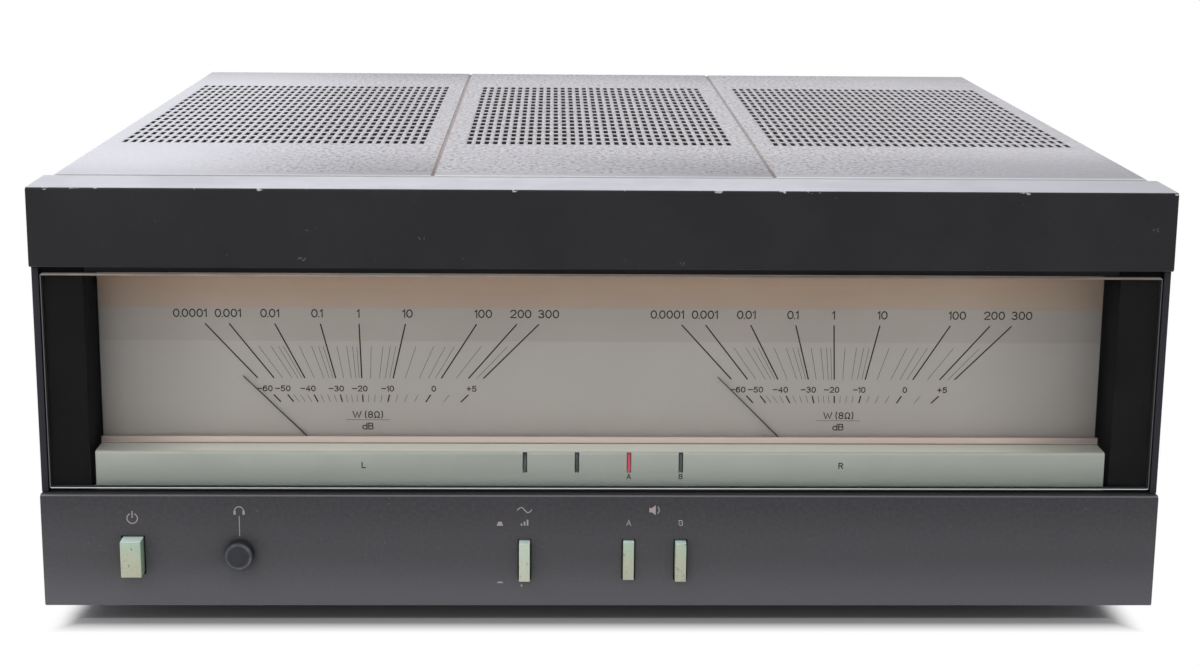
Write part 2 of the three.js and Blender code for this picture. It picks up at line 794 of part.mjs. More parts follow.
function make_rear_panel() {
  const through = [rear_inside - overrun, rear_outside + overrun];
  const sheet_across = [-inside_half_width, inside_half_width];
  let panel = block(sheet_across, [rear_inside, rear_outside], [floor_level, wall_top])
    .subtract(terminal_slab(terminal_rebate - fit, through));
  for (const [x, level, diameter] of rear_holes) {
    const hole = turned_y(rod(diameter / 2 + fit, ...through), small_steps);
    panel = panel.subtract(hole.translate([x, 0, level]));
  }
  place('rear_panel', panel, 'cover');
}

function make_terminals() {
  let plate = terminal_slab(0, [flange_face, terminal_face])
    .add(terminal_slab(terminal_rebate, [rear_inside - terminal_tail, terminal_face - terminal_plate / 2]));
  const stud_span = [terminal_face - terminal_plate / 2, terminal_face + stud_reach];
  const stud = turned_y(rod(stud_diameter / 2, ...stud_span), small_steps);
  const bore = stud_diameter / 2 + fit;
  const inside = cap_length - cap_roof;
  const cap = turned_y([
    [0, inside], [bore, inside], [bore, 0], [cap_diameter / 2, 0], [cap_diameter / 2, cap_length],
    [0, cap_length],
  ], grip_steps);
  for (let row = 0; row < terminal_rows; row += 1) {
    for (let column = 0; column < terminal_columns; column += 1) {
      const x = (column - (terminal_columns - 1) / 2) * terminal_pitch;
      const z = terminal_level + (row - (terminal_rows - 1) / 2) * terminal_pitch;
      const name = `terminal_cap_${row * terminal_columns + column + 1}`;
      plate = plate.add(stud.translate([x, 0, z]));
      place(name, cap, 'plastic', [x, terminal_face + fit, z]);
    }
  }
  place('terminal_block', plate, 'plastic');
}

function make_input_jacks() {
  const sleeve = input_sleeve_diameter / 2;
  const end = flange_face + input_reach;
  const jack = turned_y([
    [0, rear_inside - input_tail], [sleeve, rear_inside - input_tail], [sleeve, flange_face],
    [input_flange_diameter / 2, flange_face], [input_flange_diameter / 2, flange_face + input_flange],
    [sleeve, flange_face + input_flange], [sleeve, end], [input_bore_diameter / 2, end],
    [input_bore_diameter / 2, end - input_bore_depth], [0, end - input_bore_depth],
  ], small_steps);
  for (const [channel, level] of Object.entries(input_levels)) {
    place(`input_jack_${channel}`, jack, 'brass', [-rear_socket_place, 0, level]);
  }
}

function make_fuse_holder() {
  const neck = fuse_neck_diameter / 2;
  const holder = turned_y([
    [0, rear_inside - fuse_tail], [neck, rear_inside - fuse_tail], [neck, flange_face],
    [fuse_cap_diameter / 2, flange_face], [fuse_cap_diameter / 2, flange_face + fuse_cap_reach],
    [0, flange_face + fuse_cap_reach],
  ], small_steps);
  place('fuse_holder', holder, 'plastic', [rear_socket_place, 0, fuse_level]);
}

function make_cord_gland() {
  const bore = gland_bore_diameter / 2;
  const neck = gland_neck_diameter / 2;
  const gland = turned_y([
    [bore, rear_inside - gland_tail], [neck, rear_inside - gland_tail], [neck, flange_face],
    [gland_flange_diameter / 2, flange_face], [gland_flange_diameter / 2, flange_face + gland_flange],
    [gland_nose_diameter / 2, flange_face + gland_reach], [bore, flange_face + gland_reach],
    [bore, rear_inside - gland_tail],
  ], small_steps);
  place('cord_gland', gland, 'rubber', [rear_socket_place, 0, gland_level]);
}

make_header();
make_lower_panel();
make_end_blocks();
make_glass();
make_dial();
make_ledge();
make_lenses();
make_meters();
make_subchassis();
make_buttons();
make_switches();
make_phones();
make_cover();
make_base();
make_feet();
make_heat_sinks();
make_output_stage();
make_transformer();
make_supply();
make_rear_panel();
make_terminals();
make_input_jacks();
make_fuse_holder();
make_cord_gland();

export default amplifier;
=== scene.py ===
"""The looks of a stereo power amplifier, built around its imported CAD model.

Sizes are in millimetres and turned into metres by MM. X runs to the right, Y to the back and Z up.
Colours are red, green and blue as they look on a screen, from 0 to 255.
"""

import json
import math

import bmesh
import bpy
from mathutils import Euler, Matrix, Vector


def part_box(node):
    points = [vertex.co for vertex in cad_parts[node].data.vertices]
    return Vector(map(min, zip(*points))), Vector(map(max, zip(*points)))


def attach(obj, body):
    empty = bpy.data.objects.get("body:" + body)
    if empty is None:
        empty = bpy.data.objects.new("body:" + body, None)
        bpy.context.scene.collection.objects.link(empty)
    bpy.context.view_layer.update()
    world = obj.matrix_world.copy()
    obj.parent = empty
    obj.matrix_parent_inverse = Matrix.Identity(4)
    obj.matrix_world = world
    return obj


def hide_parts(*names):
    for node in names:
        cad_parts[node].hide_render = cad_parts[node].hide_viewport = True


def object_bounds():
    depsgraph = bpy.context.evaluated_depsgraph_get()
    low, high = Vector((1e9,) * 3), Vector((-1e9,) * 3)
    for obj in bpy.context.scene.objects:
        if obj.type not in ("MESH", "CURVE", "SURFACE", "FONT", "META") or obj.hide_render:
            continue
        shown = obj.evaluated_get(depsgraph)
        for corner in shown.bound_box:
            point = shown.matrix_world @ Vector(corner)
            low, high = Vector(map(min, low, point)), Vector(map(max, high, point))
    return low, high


MM = 0.001

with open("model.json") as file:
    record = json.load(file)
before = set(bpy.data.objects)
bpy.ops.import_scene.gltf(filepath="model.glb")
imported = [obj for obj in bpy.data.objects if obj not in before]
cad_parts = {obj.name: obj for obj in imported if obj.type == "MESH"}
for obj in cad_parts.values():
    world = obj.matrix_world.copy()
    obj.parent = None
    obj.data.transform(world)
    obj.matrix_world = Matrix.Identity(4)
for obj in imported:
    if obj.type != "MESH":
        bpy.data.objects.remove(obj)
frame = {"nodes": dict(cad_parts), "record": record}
cad_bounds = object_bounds()
RECORD = frame["record"]
BODY_OF = {node: body for body, nodes in RECORD["behaviour"]["bodies"].items() for node in nodes}
SLOT_OF = {part["node"]: part["material_slot"] for part in RECORD["subparts"]}
ROOT = BODY_OF["header_panel"]

# Camera: the photograph's lens, place and turn. Its level line lies above the picture's middle.
IMAGE_WIDTH = 1200
IMAGE_HEIGHT = 665
FOCAL_PIXELS = 1979.8
LEVEL_PIXEL = 255.5
SENSOR = 36
CLIP_END = 100000
CAMERA_PLACE = (-20.6, -966.4, 312.7)
CAMERA_TURN = (11.547, 0.252, 1.365)

# Light and stage. The sky's colour is as a shader takes it. Each lamp has its place, side and power. The
# floor's steps say how far it turns plain white, by the distance in front of the object; they paint the steps
# of its shadow's soft edge.
SKY_STRENGTH = 0.62
SKY_COLOUR = (0.98, 0.985, 1.0, 1.0)
LAMPS = {"key": ((-700, 100, 2100), 1800, 32), "fill": ((-900, -2300, 1300), 1600, 9)}
FLOOR_SIDE = 40000
FLOOR_MIDDLE = -1
FLOOR_ENDS = (-13.5, 1.5)
FLOOR_FRONT = (-21, -3)
FLOOR_STEPS = [(-19, 0.0), (-17.4, 0.02), (-16.4, 0.13), (-11.8, 0.12), (-10.4, 0.27), (-7, 0.55), (-1, 1.0)]
FLOOR_BACK_SHARE = 0.15

# Edges of folded and moulded pieces
WELD = 0.002
FLAT_ANGLE = math.radians(1)
SHARP_ANGLE = math.radians(28)
SHADE_ANGLE = math.radians(35)
GLASS_EDGE = 0.55
# Radius of the edges, for the nodes whose names start so
EDGES = {"header_panel": 0.35, "lower_panel": 0.4, "window_end": 0.3, "window_ledge": 0.3,
         "indicator_lens": 0.35, "power_button": 0.25, "output_button": 0.2, "speaker_button": 0.2,
         "meter_needle": 0.08, "foot_front": 1, "foot_back": 1, "terminal_block": 0.6, "input_jack": 0.2,
         "fuse_holder": 0.4, "cord_gland": 0.5}

# Ventilation slots in the cover, in rows and columns between the grooves
SHEET = 1.2
BEND_RADIUS = 2
BEND_STEPS = 4
SLOT_WIDTH = 1.98
SLOT_LENGTH = 8.5
SLOT_PITCH = 3.88
SLOT_ROW_PITCH = 12.235
SLOT_ROWS = 18
SLOT_FIRST_ROW = 121
SLOT_MARGIN = 8.6
SLOT_CORNER = 0.35
GROOVE_PLACE = 69.2
GROOVE_WIDTH = 1.8
GROOVE_SLOPE = 0.35
GROOVE_DEPTH = 0.5

# The ledge's upright strip
STRIP_HEIGHT = 2.8

# Dust cap: its shoulder, wall and seat, and its dish by shares of the radius and depths
CAP_SHOULDER = 1.3
CAP_SHOULDER_STEPS = 6
CAP_WALL = 1.1
CAP_SEAT = 1
DISH = [(0, 0.45), (0.45, 0.4), (0.62, 0.22)]

# Terminal caps
TERMINAL_BORE = 2.8
TERMINAL_WALL = 2
COLLAR_LENGTH = 2
FLUTES = 24
FLUTE_DEPTH = 0.3
FLUTE_STEPS = 4
PLUG_RIM = 3
PLUG_RADIUS = 2.4
PLUG_DEPTH = 1.6

# Screws by radius and height, with their places by shares of the surface and by inset from its edges
COVER_SCREW = (3.4, 2)
COVER_SCREW_SHARES = (0.12, 0.88)
COVER_SCREW_INSET = 14
REAR_SCREW = (2.6, 1.6)
REAR_SCREW_SHARES = (0.04, 0.35, 0.65, 0.96)
REAR_SCREW_INSET = 7

# Printed marks
INK = 0.04
LETTER_SHARE = 0.75
LETTER_GAP = 0.1

# Symbols over the controls and letters on the ledge: levels, sizes and pen
SYMBOL_PEN = 0.38
SYMBOL_LEVEL = 52.9
POWER_LEVEL = 49.2
PHONES_LEVEL = 52.3
PHONES_RADIUS = 1.8
KEY_MARK = 2.6
KEY_MARK_OFFSET = 9.9
KEY_MARKS = [(47.1, 1.7), (22.2, 0.7)]
BARS = (0.9, 1.7, 2.5)
BAR_LEVEL = 46.3
BAR_PITCH = 1.2
BAR_WIDTH = 0.65
LOW_BAR = (20.3, 21.3)
WAVE_LENGTH = 5.6
LOUDSPEAKER = [(-2.3, -0.9), (-1.2, -0.9), (0.3, -2.1), (0.3, 2.1), (-1.2, 0.9), (-2.3, 0.9)]
SPEAKER_LETTER_LEVEL = 47.5
CHANNEL_LEVEL = 69.8
LENS_LETTER_LEVEL = 65.2

# Dial: the level of each main mark in decibels and its angle from upright at the needle's pivot
SCALE_MARKS = [(-60, -42.3), (-50, -37.7), (-40, -27.2), (-30, -14.3), (-20, -2), (-10, 12.9), (0, 32.4),
               (3, 40.8), (5, 45.2)]
FULL_POWER = 100
DECADES = range(-4, 2)
POWER_LABELS = [("0.0001", -5.9), ("0.001", -0.4), ("0.01", -1.9), ("0.1", -1.3), ("1", -0.3), ("10", 0.9),
                ("100", 2.7), ("200", 1.6), ("300", 3.9)]
LEVEL_LABELS = [(-60, -3.5), (-50, -1.9), (-40, -2.4), (-30, -1.6), (-20, -1.1), (-10, -0.7), (0, 1.3),
                (5, 1.3)]
MAJOR_TOP = 124.7
MINOR_TOP = 115.3
POWER_FOOT = 101.95
LEVEL_TOP = 95.05
LEVEL_FOOT = 91.95
POWER_LABEL_LEVEL = 129
LEVEL_LABEL_LEVEL = 97.6
UNIT_OFFSET = 0.5
UNIT_LEVEL = 86.65
UNIT_RULE_LEVEL = 84.45
SECOND_UNIT_LEVEL = 81.75
UNIT_RULE = 17.8
MAJOR_WIDTH = 0.52
MINOR_WIDTH = 0.15
POWER_DIGIT = 3.5
POWER_PEN = 0.47
LEVEL_DIGIT = 2.5
LEVEL_PEN = 0.4
UNIT_LETTER = 2.9
UNIT_PEN = 0.41

# The dial's tones at their levels, with two faint steps that are painted reflections and a browner top that
# is painted light and shade under the header. Then the painted shade towards its ends
DIAL_TONES = [(86, (167, 162, 156)), (111, (164, 160, 156)), (117.4, (163, 158, 153)),
              (117.6, (156, 150, 144)), (131.3, (156, 149, 143)), (131.5, (161, 143, 129)),
              (138, (170, 149, 130)), (143, (188, 159, 137))]
DIAL_MIDDLE = -1.5
DIAL_END = (145, 218)
DIAL_END_SHADE = 0.62
DIAL_END_POWER = 1.4

# Chips along the header's upper front edge, by place across and half width, and scuffs on its face
CHIPS = [(-217.6, 1.6), (-206, 2.4), (-198, 1), (-160.3, 1.1), (-134.5, 1.5), (-116.2, 0.8), (-35.1, 1.8),
         (7, 0.9), (44, 2.2), (69, 1.8), (79.5, 1.5), (84, 0.9), (164, 3.2), (224.5, 1.6)]
CHIP_DEPTH = 1.1
SCUFFS = [(-119, 155.6, 2.2), (-116.5, 167.5, 0.8), (-72, 164, 1.6), (7, 155.4, 1.4), (30.4, 154.4, 1.6),
          (216.8, 168.5, 1.8)]
SCUFF_HEIGHT = 0.9

# White as a shader takes it, and black on the screen's scale
WHITE = (1.0, 1.0, 1.0, 1.0)
BLACK = (0, 0, 0)


def millimetres(node):
    """The lowest and highest corner of a CAD node, in millimetres."""
    low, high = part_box(node)
    return low / MM, high / MM


def middle(node):
    """The middle of a CAD node, in millimetres."""
    low, high = millimetres(node)
    return (low + high) / 2


FRONT = millimetres("header_panel")[0].y
HEADER_FOOT = millimetres("scale_plate")[1].z + 0.3


def light(value):
    """The light that a screen value from 0 to 255 stands for."""
    share = value / 255
    return share / 12.92 if share <= 0.04045 else ((share + 0.055) / 1.055) ** 2.4


def colour(red, green, blue):
    """A colour as it looks on a screen, for a shader."""
    return (light(red), light(green), light(blue), 1.0)


class Finish:
    """One material, whose nodes are added step by step. Its coat is the colour laid on so far."""

    def __init__(self, name, roughness=0.5, metallic=0.0, specular=0.5):
        self.material = bpy.data.materials.new(name)
        self.material.use_nodes = True
        self.tree = self.material.node_tree
        self.skin = self.tree.nodes["Principled BSDF"]
        self.set("Roughness", roughness)
        self.set("Metallic", metallic)
        self.set("Specular IOR Level", specular)
        self.coordinates = self.node("TexCoord")
        self.place = self.coordinates.outputs["Object"]
        self.coat = None

    def set(self, socket, value):
        self.feed(self.skin.inputs[socket], value)

    def feed(self, socket, value):
        """Sets a socket to a value, or links it to another node's output."""
        if isinstance(value, bpy.types.NodeSocket):
            self.tree.links.new(value, socket)
        else:
            socket.default_value = value

    def node(self, kind, inputs=None, **settings):
        made = self.tree.nodes.new("ShaderNode" + kind)
        for name, value in settings.items():
            setattr(made, name, value)
        for socket, value in (inputs or {}).items():
            self.feed(made.inputs[socket], value)
        return made

    def math(self, operation, first, second=0.0):
        return self.node("Math", {0: first, 1: second}, operation=operation).outputs[0]

    def times(self, first, second):
        return self.math("MULTIPLY", first, second)

    def vector(self, operation, first, second):
        return self.node("VectorMath", {0: first, 1: second}, operation=operation).outputs[0]

    def axis(self, letter):
        """The place along one axis, in metres."""
        return self.node("SeparateXYZ", {0: self.place}).outputs[letter]

    def facing(self, letter):
        """How far the surface faces along one axis, from -1 to 1."""
        return self.node("SeparateXYZ", {0: self.coordinates.outputs["Normal"]}).outputs[letter]

    def pattern(self, kind, size, stretch, values):
        """A texture node whose pattern is about that size in millimetres."""
        place = self.vector("MULTIPLY", self.place, stretch) if stretch else self.place
        return self.node(kind, {"Vector": place, "Scale": 1 / (size * MM), **values})

    def clouds(self, size, detail=2.0, roughness=0.5, stretch=None):
        """Soft variation from 0 to 1."""
        values = {"Detail": detail, "Roughness": roughness}
        return self.pattern("TexNoise", size, stretch, values).outputs["Fac"]

    def dots(self, size, spread=1.0, stretch=None):
        """Distance to the nearest of scattered points."""
        return self.pattern("TexVoronoi", size, stretch, {"Randomness": spread}).outputs["Distance"]

    def ramp(self, value, low, high, start=0.0, end=1.0):
        """A smooth step from start to end while the value goes from low to high."""
        values = {"Value": value, "From Min": low, "From Max": high, "To Min": start, "To Max": end}
        return self.node("MapRange", values, interpolation_type="SMOOTHSTEP").outputs["Result"]

    def step(self, length, low, high, start=0.0, end=1.0):
        """A smooth step while a length goes from low to high, in millimetres."""
        return self.ramp(length, low * MM, high * MM, start, end)

    def along(self, letter, low, high, start=0.0, end=1.0):
        """A smooth step between two places along an axis, in millimetres."""
        return self.step(self.axis(letter), low, high, start, end)

    def turned(self, letter, low, high, start=0.0, end=1.0):
        """A smooth step in how far the surface faces along an axis."""
        return self.ramp(self.facing(letter), low, high, start, end)

    def away(self, length, place=0.0):
        """How far a length, or the place along an axis, is from a place in millimetres."""
        length = self.axis(length) if isinstance(length, str) else length
        return self.math("ABSOLUTE", self.math("SUBTRACT", length, place * MM))

    def near(self, letter, place, reach):
        """1 within reach of a place along an axis, fading to 0, all in millimetres."""
        return self.step(self.away(letter, place), 0.6 * reach, reach, 1.0, 0.0)

    def even(self, length, low, high):
        """Goes evenly from 0 to 1 while a length goes from low to high, in millimetres."""
        values = {"Value": length, "From Min": low * MM, "From Max": high * MM}
        return self.node("MapRange", values).outputs["Result"]

    def stops(self, length, tones):
        """Shader colours that run into each other, each at its place in millimetres."""
        first, last = tones[0][0], tones[-1][0]
        made = self.node("ValToRGB", {"Fac": self.even(length, first, last)})
        points = made.color_ramp.elements
        for place, _ in tones[1:-1]:
            points.new((place - first) / (last - first))
        for point, (_, tone) in zip(points, tones):
            point.color = tone
        return made.outputs["Color"]

    def blend(self, share, first, second):
        """The first colour where share is 0 and the second where it is 1."""
        first, second = [colour(*tone) if isinstance(tone, tuple) else tone for tone in (first, second)]
        return self.node("Mix", {0: share, 6: first, 7: second}, data_type="RGBA").outputs[2]

    def over(self, share, tone):
        """Lays a colour over the coat where share is 1."""
        self.coat = self.blend(share, self.coat, tone)

    def speck(self, size, share, tone):
        """Scatters tiny specks over the coat."""
        self.over(self.math("LESS_THAN", self.dots(size), share), tone)

    def relief(self, height, depth):
        """Raises the surface by a height from 0 to 1, that deep in millimetres."""
        made = self.node("Bump", {"Height": height, "Distance": depth * MM})
        self.feed(self.skin.inputs["Normal"], made.outputs["Normal"])

    def glow(self, strength, tone=None):
        """Makes the surface shine a little, in its own colour if no other is given."""
        self.set("Emission Color", self.coat if tone is None else tone)
        self.set("Emission Strength", strength)

    def swap(self, share, shader):
        """Shows another shader in place of the skin where share is 1."""
        mixed = self.node("MixShader", {0: share, 1: self.skin.outputs[0], 2: shader.outputs[0]})
        self.feed(self.tree.nodes["Material Output"].inputs["Surface"], mixed.outputs[0])

    def done(self):
        """Gives the skin its coat and returns the material."""
        self.set("Base Color", self.coat)
        return self.material


def painted(name, dark, pale, roughness=0.5, specular=0.5, cloud=30, grain=0.6, depth=0.02):
    """A painted or moulded finish: broad mottling, fine grain and a slightly uneven gloss."""
    made = Finish(name, roughness, 0.0, specular)
    fine = made.clouds(grain, 2, 0.7)
    made.coat = made.blend(made.ramp(made.clouds(cloud, 3, 0.6), 0.3, 0.7), dark, pale)
    made.over(made.ramp(fine, 0.35, 0.75, 0.0, 0.18), pale)
    made.set("Roughness", made.ramp(fine, 0.2, 0.8, roughness - 0.06, roughness + 0.08))
    made.relief(fine, depth)
    return made


def chip_edge(made, level, face):
    """Bare chips along a front edge at that level and setback, in millimetres."""
    distance = made.math("ADD", made.away("Z", level), made.away("Y", face))
    ragged = made.ramp(made.clouds(1.1, 3, 0.7, (0.5, 1, 1)), 0.35, 0.6, 0.25, 1.0)
    reach = 0.0
    for place, half in CHIPS:
        chip = made.times(made.near("X", place, half), min(half, CHIP_DEPTH) * MM)
        reach = made.math("MAXIMUM", reach, chip)
    made.over(made.math("LESS_THAN", distance, made.times(reach, ragged)), (168, 170, 168))


def scuff(made):
    """Scuffs on the front: small clusters of pale flecks."""
    flecks = made.math("LESS_THAN", made.dots(0.7, 1.0, (1, 1, 0.7)), 0.36)
    flecks = made.times(flecks, made.ramp(made.clouds(1.2), 0.4, 0.6, 0.25, 0.85))
    for place, level, half in SCUFFS:
        spot = made.times(made.near("X", place, half), made.near("Z", level, SCUFF_HEIGHT))
        made.over(made.times(spot, flecks), (120, 122, 124))


def header_paint():
    """The header: chipped and scuffed dark paint in front, with a painted highlight along its lower front
    edge, and a pale top face that is a painted highlight, darker towards the right end with painted shade.
    """
    low, high = millimetres("header_panel")
    made = painted("header_paint", (40, 40, 42), (45, 45, 47), 0.55, 0.12, 40, 0.5, 0.012)
    scuff(made)
    chip_edge(made, high.z, low.y)
    # Painted highlight along the lower front edge
    foot = made.times(made.near("Z", HEADER_FOOT, 0.5), made.near("Y", low.y, 0.6))
    made.over(made.times(foot, 0.45), (104, 104, 108))
    made.over(made.ramp(made.clouds(3.5, 4, 0.8), 0.4, 0.7, 0.0, 0.12), (24, 26, 30))
    made.speck(9, 0.03, (72, 72, 76))
    # Painted highlight on the top face, darker towards the right end with painted shade
    pale = made.blend(made.ramp(made.clouds(28, 3, 0.6), 0.3, 0.7), (184, 184, 191), (194, 194, 201))
    pale = made.blend(made.along("X", 100, high.x, 0.0, 0.6), pale, (172, 173, 180))
    made.over(made.turned("Z", 0.75, 0.9), pale)
    return made.done()


def panel_paint():
    """The lower panel: darker towards its top and on its top face with painted shade, with a thin painted
    highlight along its upper front edge.
    """
    low, high = millimetres("lower_panel")
    half_way = (low.z + high.z) / 2
    made = painted("panel_paint", (60, 60, 63), (63, 63, 66), 0.5, 0.14, 50, 0.45, 0.015)
    # Painted shade: darker towards the top, paler towards the foot
    made.over(made.along("Z", half_way, high.z, 0.75, 0.0), (81, 80, 83))
    made.over(made.along("Z", low.z, half_way, 0.9, 0.0), (99, 98, 102))
    # Painted shade on the top face, below the window
    made.over(made.turned("Z", 0.8, 0.95), (56, 57, 60))
    # Painted highlight along the upper front edge
    rim = made.times(made.near("Z", high.z - 0.2, 0.5), made.near("Y", low.y + 0.2, 0.7))
    made.over(made.times(rim, 0.6), (132, 132, 138))
    made.over(made.ramp(made.clouds(1.6, 4, 0.8), 0.35, 0.7, 0.0, 0.14), (112, 104, 110))
    made.speck(7, 0.035, (104, 103, 108))
    return made.done()


def cover_paint():
    """Crinkled paint: a net of fine wrinkles, smoother at both ends and in front, with painted shade in its
    hollows and painted highlights between them. Painted shade also darkens the front, most towards the right,
    and a painted highlight lies over the left end.
    """
    front = millimetres("top_cover")[0].y
    made = Finish("cover_paint", 0.55, 0.0, 0.3)
    wrinkles = made.clouds(1.9, 3, 0.66, (1, 0.6, 1))
    patches = made.clouds(14, 4, 0.65)
    ends = made.times(made.along("X", -185, -110, 0.12, 1.0), made.along("X", 110, 185, 1.0, 0.3))
    rough = made.times(made.along("Y", front + 4, front + 8), ends)
    made.coat = made.blend(made.ramp(patches, 0.3, 0.7), (182, 180, 185), (192, 190, 195))
    # Painted shade over the front, strongest towards the right
    forward = made.along("Y", front + 30, front + 80, 0.6, 0.0)
    made.over(made.times(forward, made.along("X", -60, 150, 0.8, 1.4)), (166, 165, 170))
    # Painted highlight over the left end
    made.over(made.along("X", -200, -90, 1.0, 0.0), (203, 203, 210))
    # Painted shade in the wrinkles' hollows
    hollow = made.times(made.ramp(wrinkles, 0.49, 0.61), made.ramp(patches, 0.3, 0.6, 0.45, 1.0))
    made.over(made.times(made.times(hollow, rough), 0.6), (112, 107, 110))
    # Painted highlight between the hollows
    made.over(made.times(made.ramp(wrinkles, 0.3, 0.42, 0.5, 0.0), rough), (216, 214, 218))
    groove = made.step(made.away(made.away("X"), GROOVE_PLACE), 0.5, 0.95, 1.0, 0.0)
    on_top = made.turned("Z", 0.3, 0.6)
    made.over(made.times(made.times(groove, on_top), 0.7), (140, 124, 117))
    made.set("Roughness", made.ramp(wrinkles, 0.3, 0.7, 0.45, 0.65))
    made.relief(made.times(wrinkles, rough), 0.14)
    return made.done()


def black_trim():
    """Black end blocks with a paler strip on their front faces along their outer edges."""
    outer = millimetres("window_end_right")[1].x
    made = painted("black_trim", (19, 19, 20), (24, 24, 25), 0.6, 0.05, 18, 0.5, 0.02)
    strip = made.step(made.away("X"), outer - 2.9, outer - 2.6)
    made.over(made.times(strip, made.turned("Y", -0.9, -0.7, 1.0, 0.0)), (52, 51, 56))
    return made.done()


def window_glass():
    """The clear pane, faintly smeared. The lamps' light goes straight through it to what lies behind."""
    made = Finish("window_glass", 0.0, 0.0, 0.5)
    made.set("Base Color", WHITE)
    made.set("Transmission Weight", 1.0)
    made.set("IOR", 1.08)
    smears = made.clouds(45, 3, 0.6, (0.4, 1, 1))
    made.set("Roughness", made.ramp(smears, 0.45, 0.8, 0.0, 0.05))
    made.swap(made.node("LightPath").outputs["Is Shadow Ray"], made.node("BsdfTransparent", {"Color": WHITE}))
    return made.material


def ground_glass():
    """The pane's ground upper and lower edges, which glow faintly with painted light and darken towards the
    right with painted shade. A painted highlight runs along the lower front edge and painted shade along the
    lower back edge. Its ends are black with painted shade, with a painted highlight on their front chamfers.
    """
    low = millimetres("window_glass")[0]
    made = painted("ground_glass", (142, 136, 130), (164, 157, 150), 0.6, 0.3, 12, 0.4, 0.03)
    foot = made.along("Z", low.z + 5, low.z + 6, 1.0, 0.0)
    back = made.along("Y", low.y + 0.5, low.y + 0.7)
    ends = made.ramp(made.math("ABSOLUTE", made.facing("Z")), 0.2, 0.4, 1.0, 0.0)
    # Painted shade: darker and browner towards the right
    made.over(made.along("X", -120, 120, 0.0, 0.45), (92, 84, 79))
    # Painted highlight along the lower front edge
    made.over(foot, (238, 242, 242))
    # Painted shade on the lower back edge
    made.over(made.times(foot, back), (30, 32, 32))
    # Painted shade: black ends, with a painted highlight on their front chamfers
    made.over(ends, made.blend(back, (92, 96, 98), (18, 18, 19)))
    # Painted light: the edges glow in their own colour
    made.glow(0.24)
    return made.done()


def cut_edge():
    """Cut edges and the inner side of the cover's sheet, dark with painted shade, with a painted highlight
    along its front edge.
    """
    # Painted shade: the slots' walls and the sheet's inner side are dark
    made = painted("cut_edge", (70, 63, 62), (92, 84, 83), 0.6, 0.2, 8, 0.5, 0.02)
    # Painted highlight along the cover's front edge
    made.over(made.near("Y", millimetres("top_cover")[0].y, 1.5), (222, 220, 224))
    return made.done()


def dial_face():
    """The dial's matt plate: grey below, browner above two faint steps and darker at its ends. The steps are
    painted reflections, the browner top is painted light and shade, and the darker ends are painted shade.
    """
    made = Finish("dial_face", 0.75, 0.0, 0.15)
    grain = made.clouds(0.5, 2, 0.6)
    # Painted light and reflections in the tones by height
    made.coat = made.stops(made.axis("Z"), [(place, colour(*tone)) for place, tone in DIAL_TONES])
    made.over(made.ramp(made.clouds(60, 3, 0.5), 0.3, 0.7, 0.0, 0.12), (184, 180, 172))
    out = made.math("POWER", made.even(made.away("X", DIAL_MIDDLE), *DIAL_END), DIAL_END_POWER)
    # Painted shade towards the ends
    made.over(made.times(out, DIAL_END_SHADE), BLACK)
    made.over(made.ramp(grain, 0.3, 0.8, 0.0, 0.08), (140, 134, 128))
    made.relief(grain, 0.01)
    return made.done()


def ink(name, tone, wear):
    """Printed ink with thin and broken places."""
    made = Finish(name, 0.6, 0.0, 0.2)
    thin = made.ramp(made.clouds(0.8, 3, 0.7), 0.5, 0.85, 0.0, wear)
    made.coat = made.blend(thin, tone, (110, 108, 108))
    made.relief(made.clouds(0.3), 0.01)
    return made.done()


def ledge_finish():
    """The grey-green ledge: a bar and a copper strip behind. Painted highlights make it paler along its top
    and rounded edge; painted shade darkens its foot, its ends and the crease at the strip's foot; the top and
    the strip glow faintly with painted light.
    """
    low, high = millimetres("window_ledge")
    shelf = high.z - STRIP_HEIGHT
    made = painted("ledge_finish", (158, 164, 156), (166, 171, 163), 0.5, 0.2, 35, 0.6, 0.01)
    flat = made.turned("Z", 0.93, 0.99)
    above = made.along("Z", shelf + 0.35, shelf + 0.75)
    ends = made.step(made.away("X"), 155, 207, 0.0, 0.55)
    groove = made.times(made.near("Z", shelf + 0.1, 0.3), made.near("Y", high.y - 1, 0.3))
    # Painted shade: darker towards the foot
    made.over(made.along("Z", low.z, shelf, 1.0, 0.0), (134, 141, 133))
    # Painted highlight on the rounded front edge
    made.over(made.turned("Z", 0.1, 0.45), (180, 181, 172))
    # Painted highlight on the top, with painted shade towards the ends
    made.over(flat, made.blend(ends, (217, 217, 206), BLACK))
    # The copper strip, with painted shade towards the ends
    made.over(above, made.blend(ends, (204, 186, 177), BLACK))
    # Painted shade in the crease at the strip's foot
    made.over(groove, (128, 120, 110))
    # Painted light: the top and the strip glow
    made.glow(0.08, made.blend(made.math("MAXIMUM", flat, above), BLACK, made.coat))
    return made.done()


def lens(name, dark, pale, glow):
    """A small moulded lens in faint streaks, which glows if it is lit."""
    made = Finish(name, 0.25, 0.0, 0.5)
    streaks = made.clouds(1.4, 2, 0.6, (1, 1, 0.35))
    made.coat = made.blend(made.ramp(streaks, 0.35, 0.7), dark, pale)
    if glow:
        made.glow(glow)
    made.relief(made.clouds(0.5), 0.01)
    return made.done()


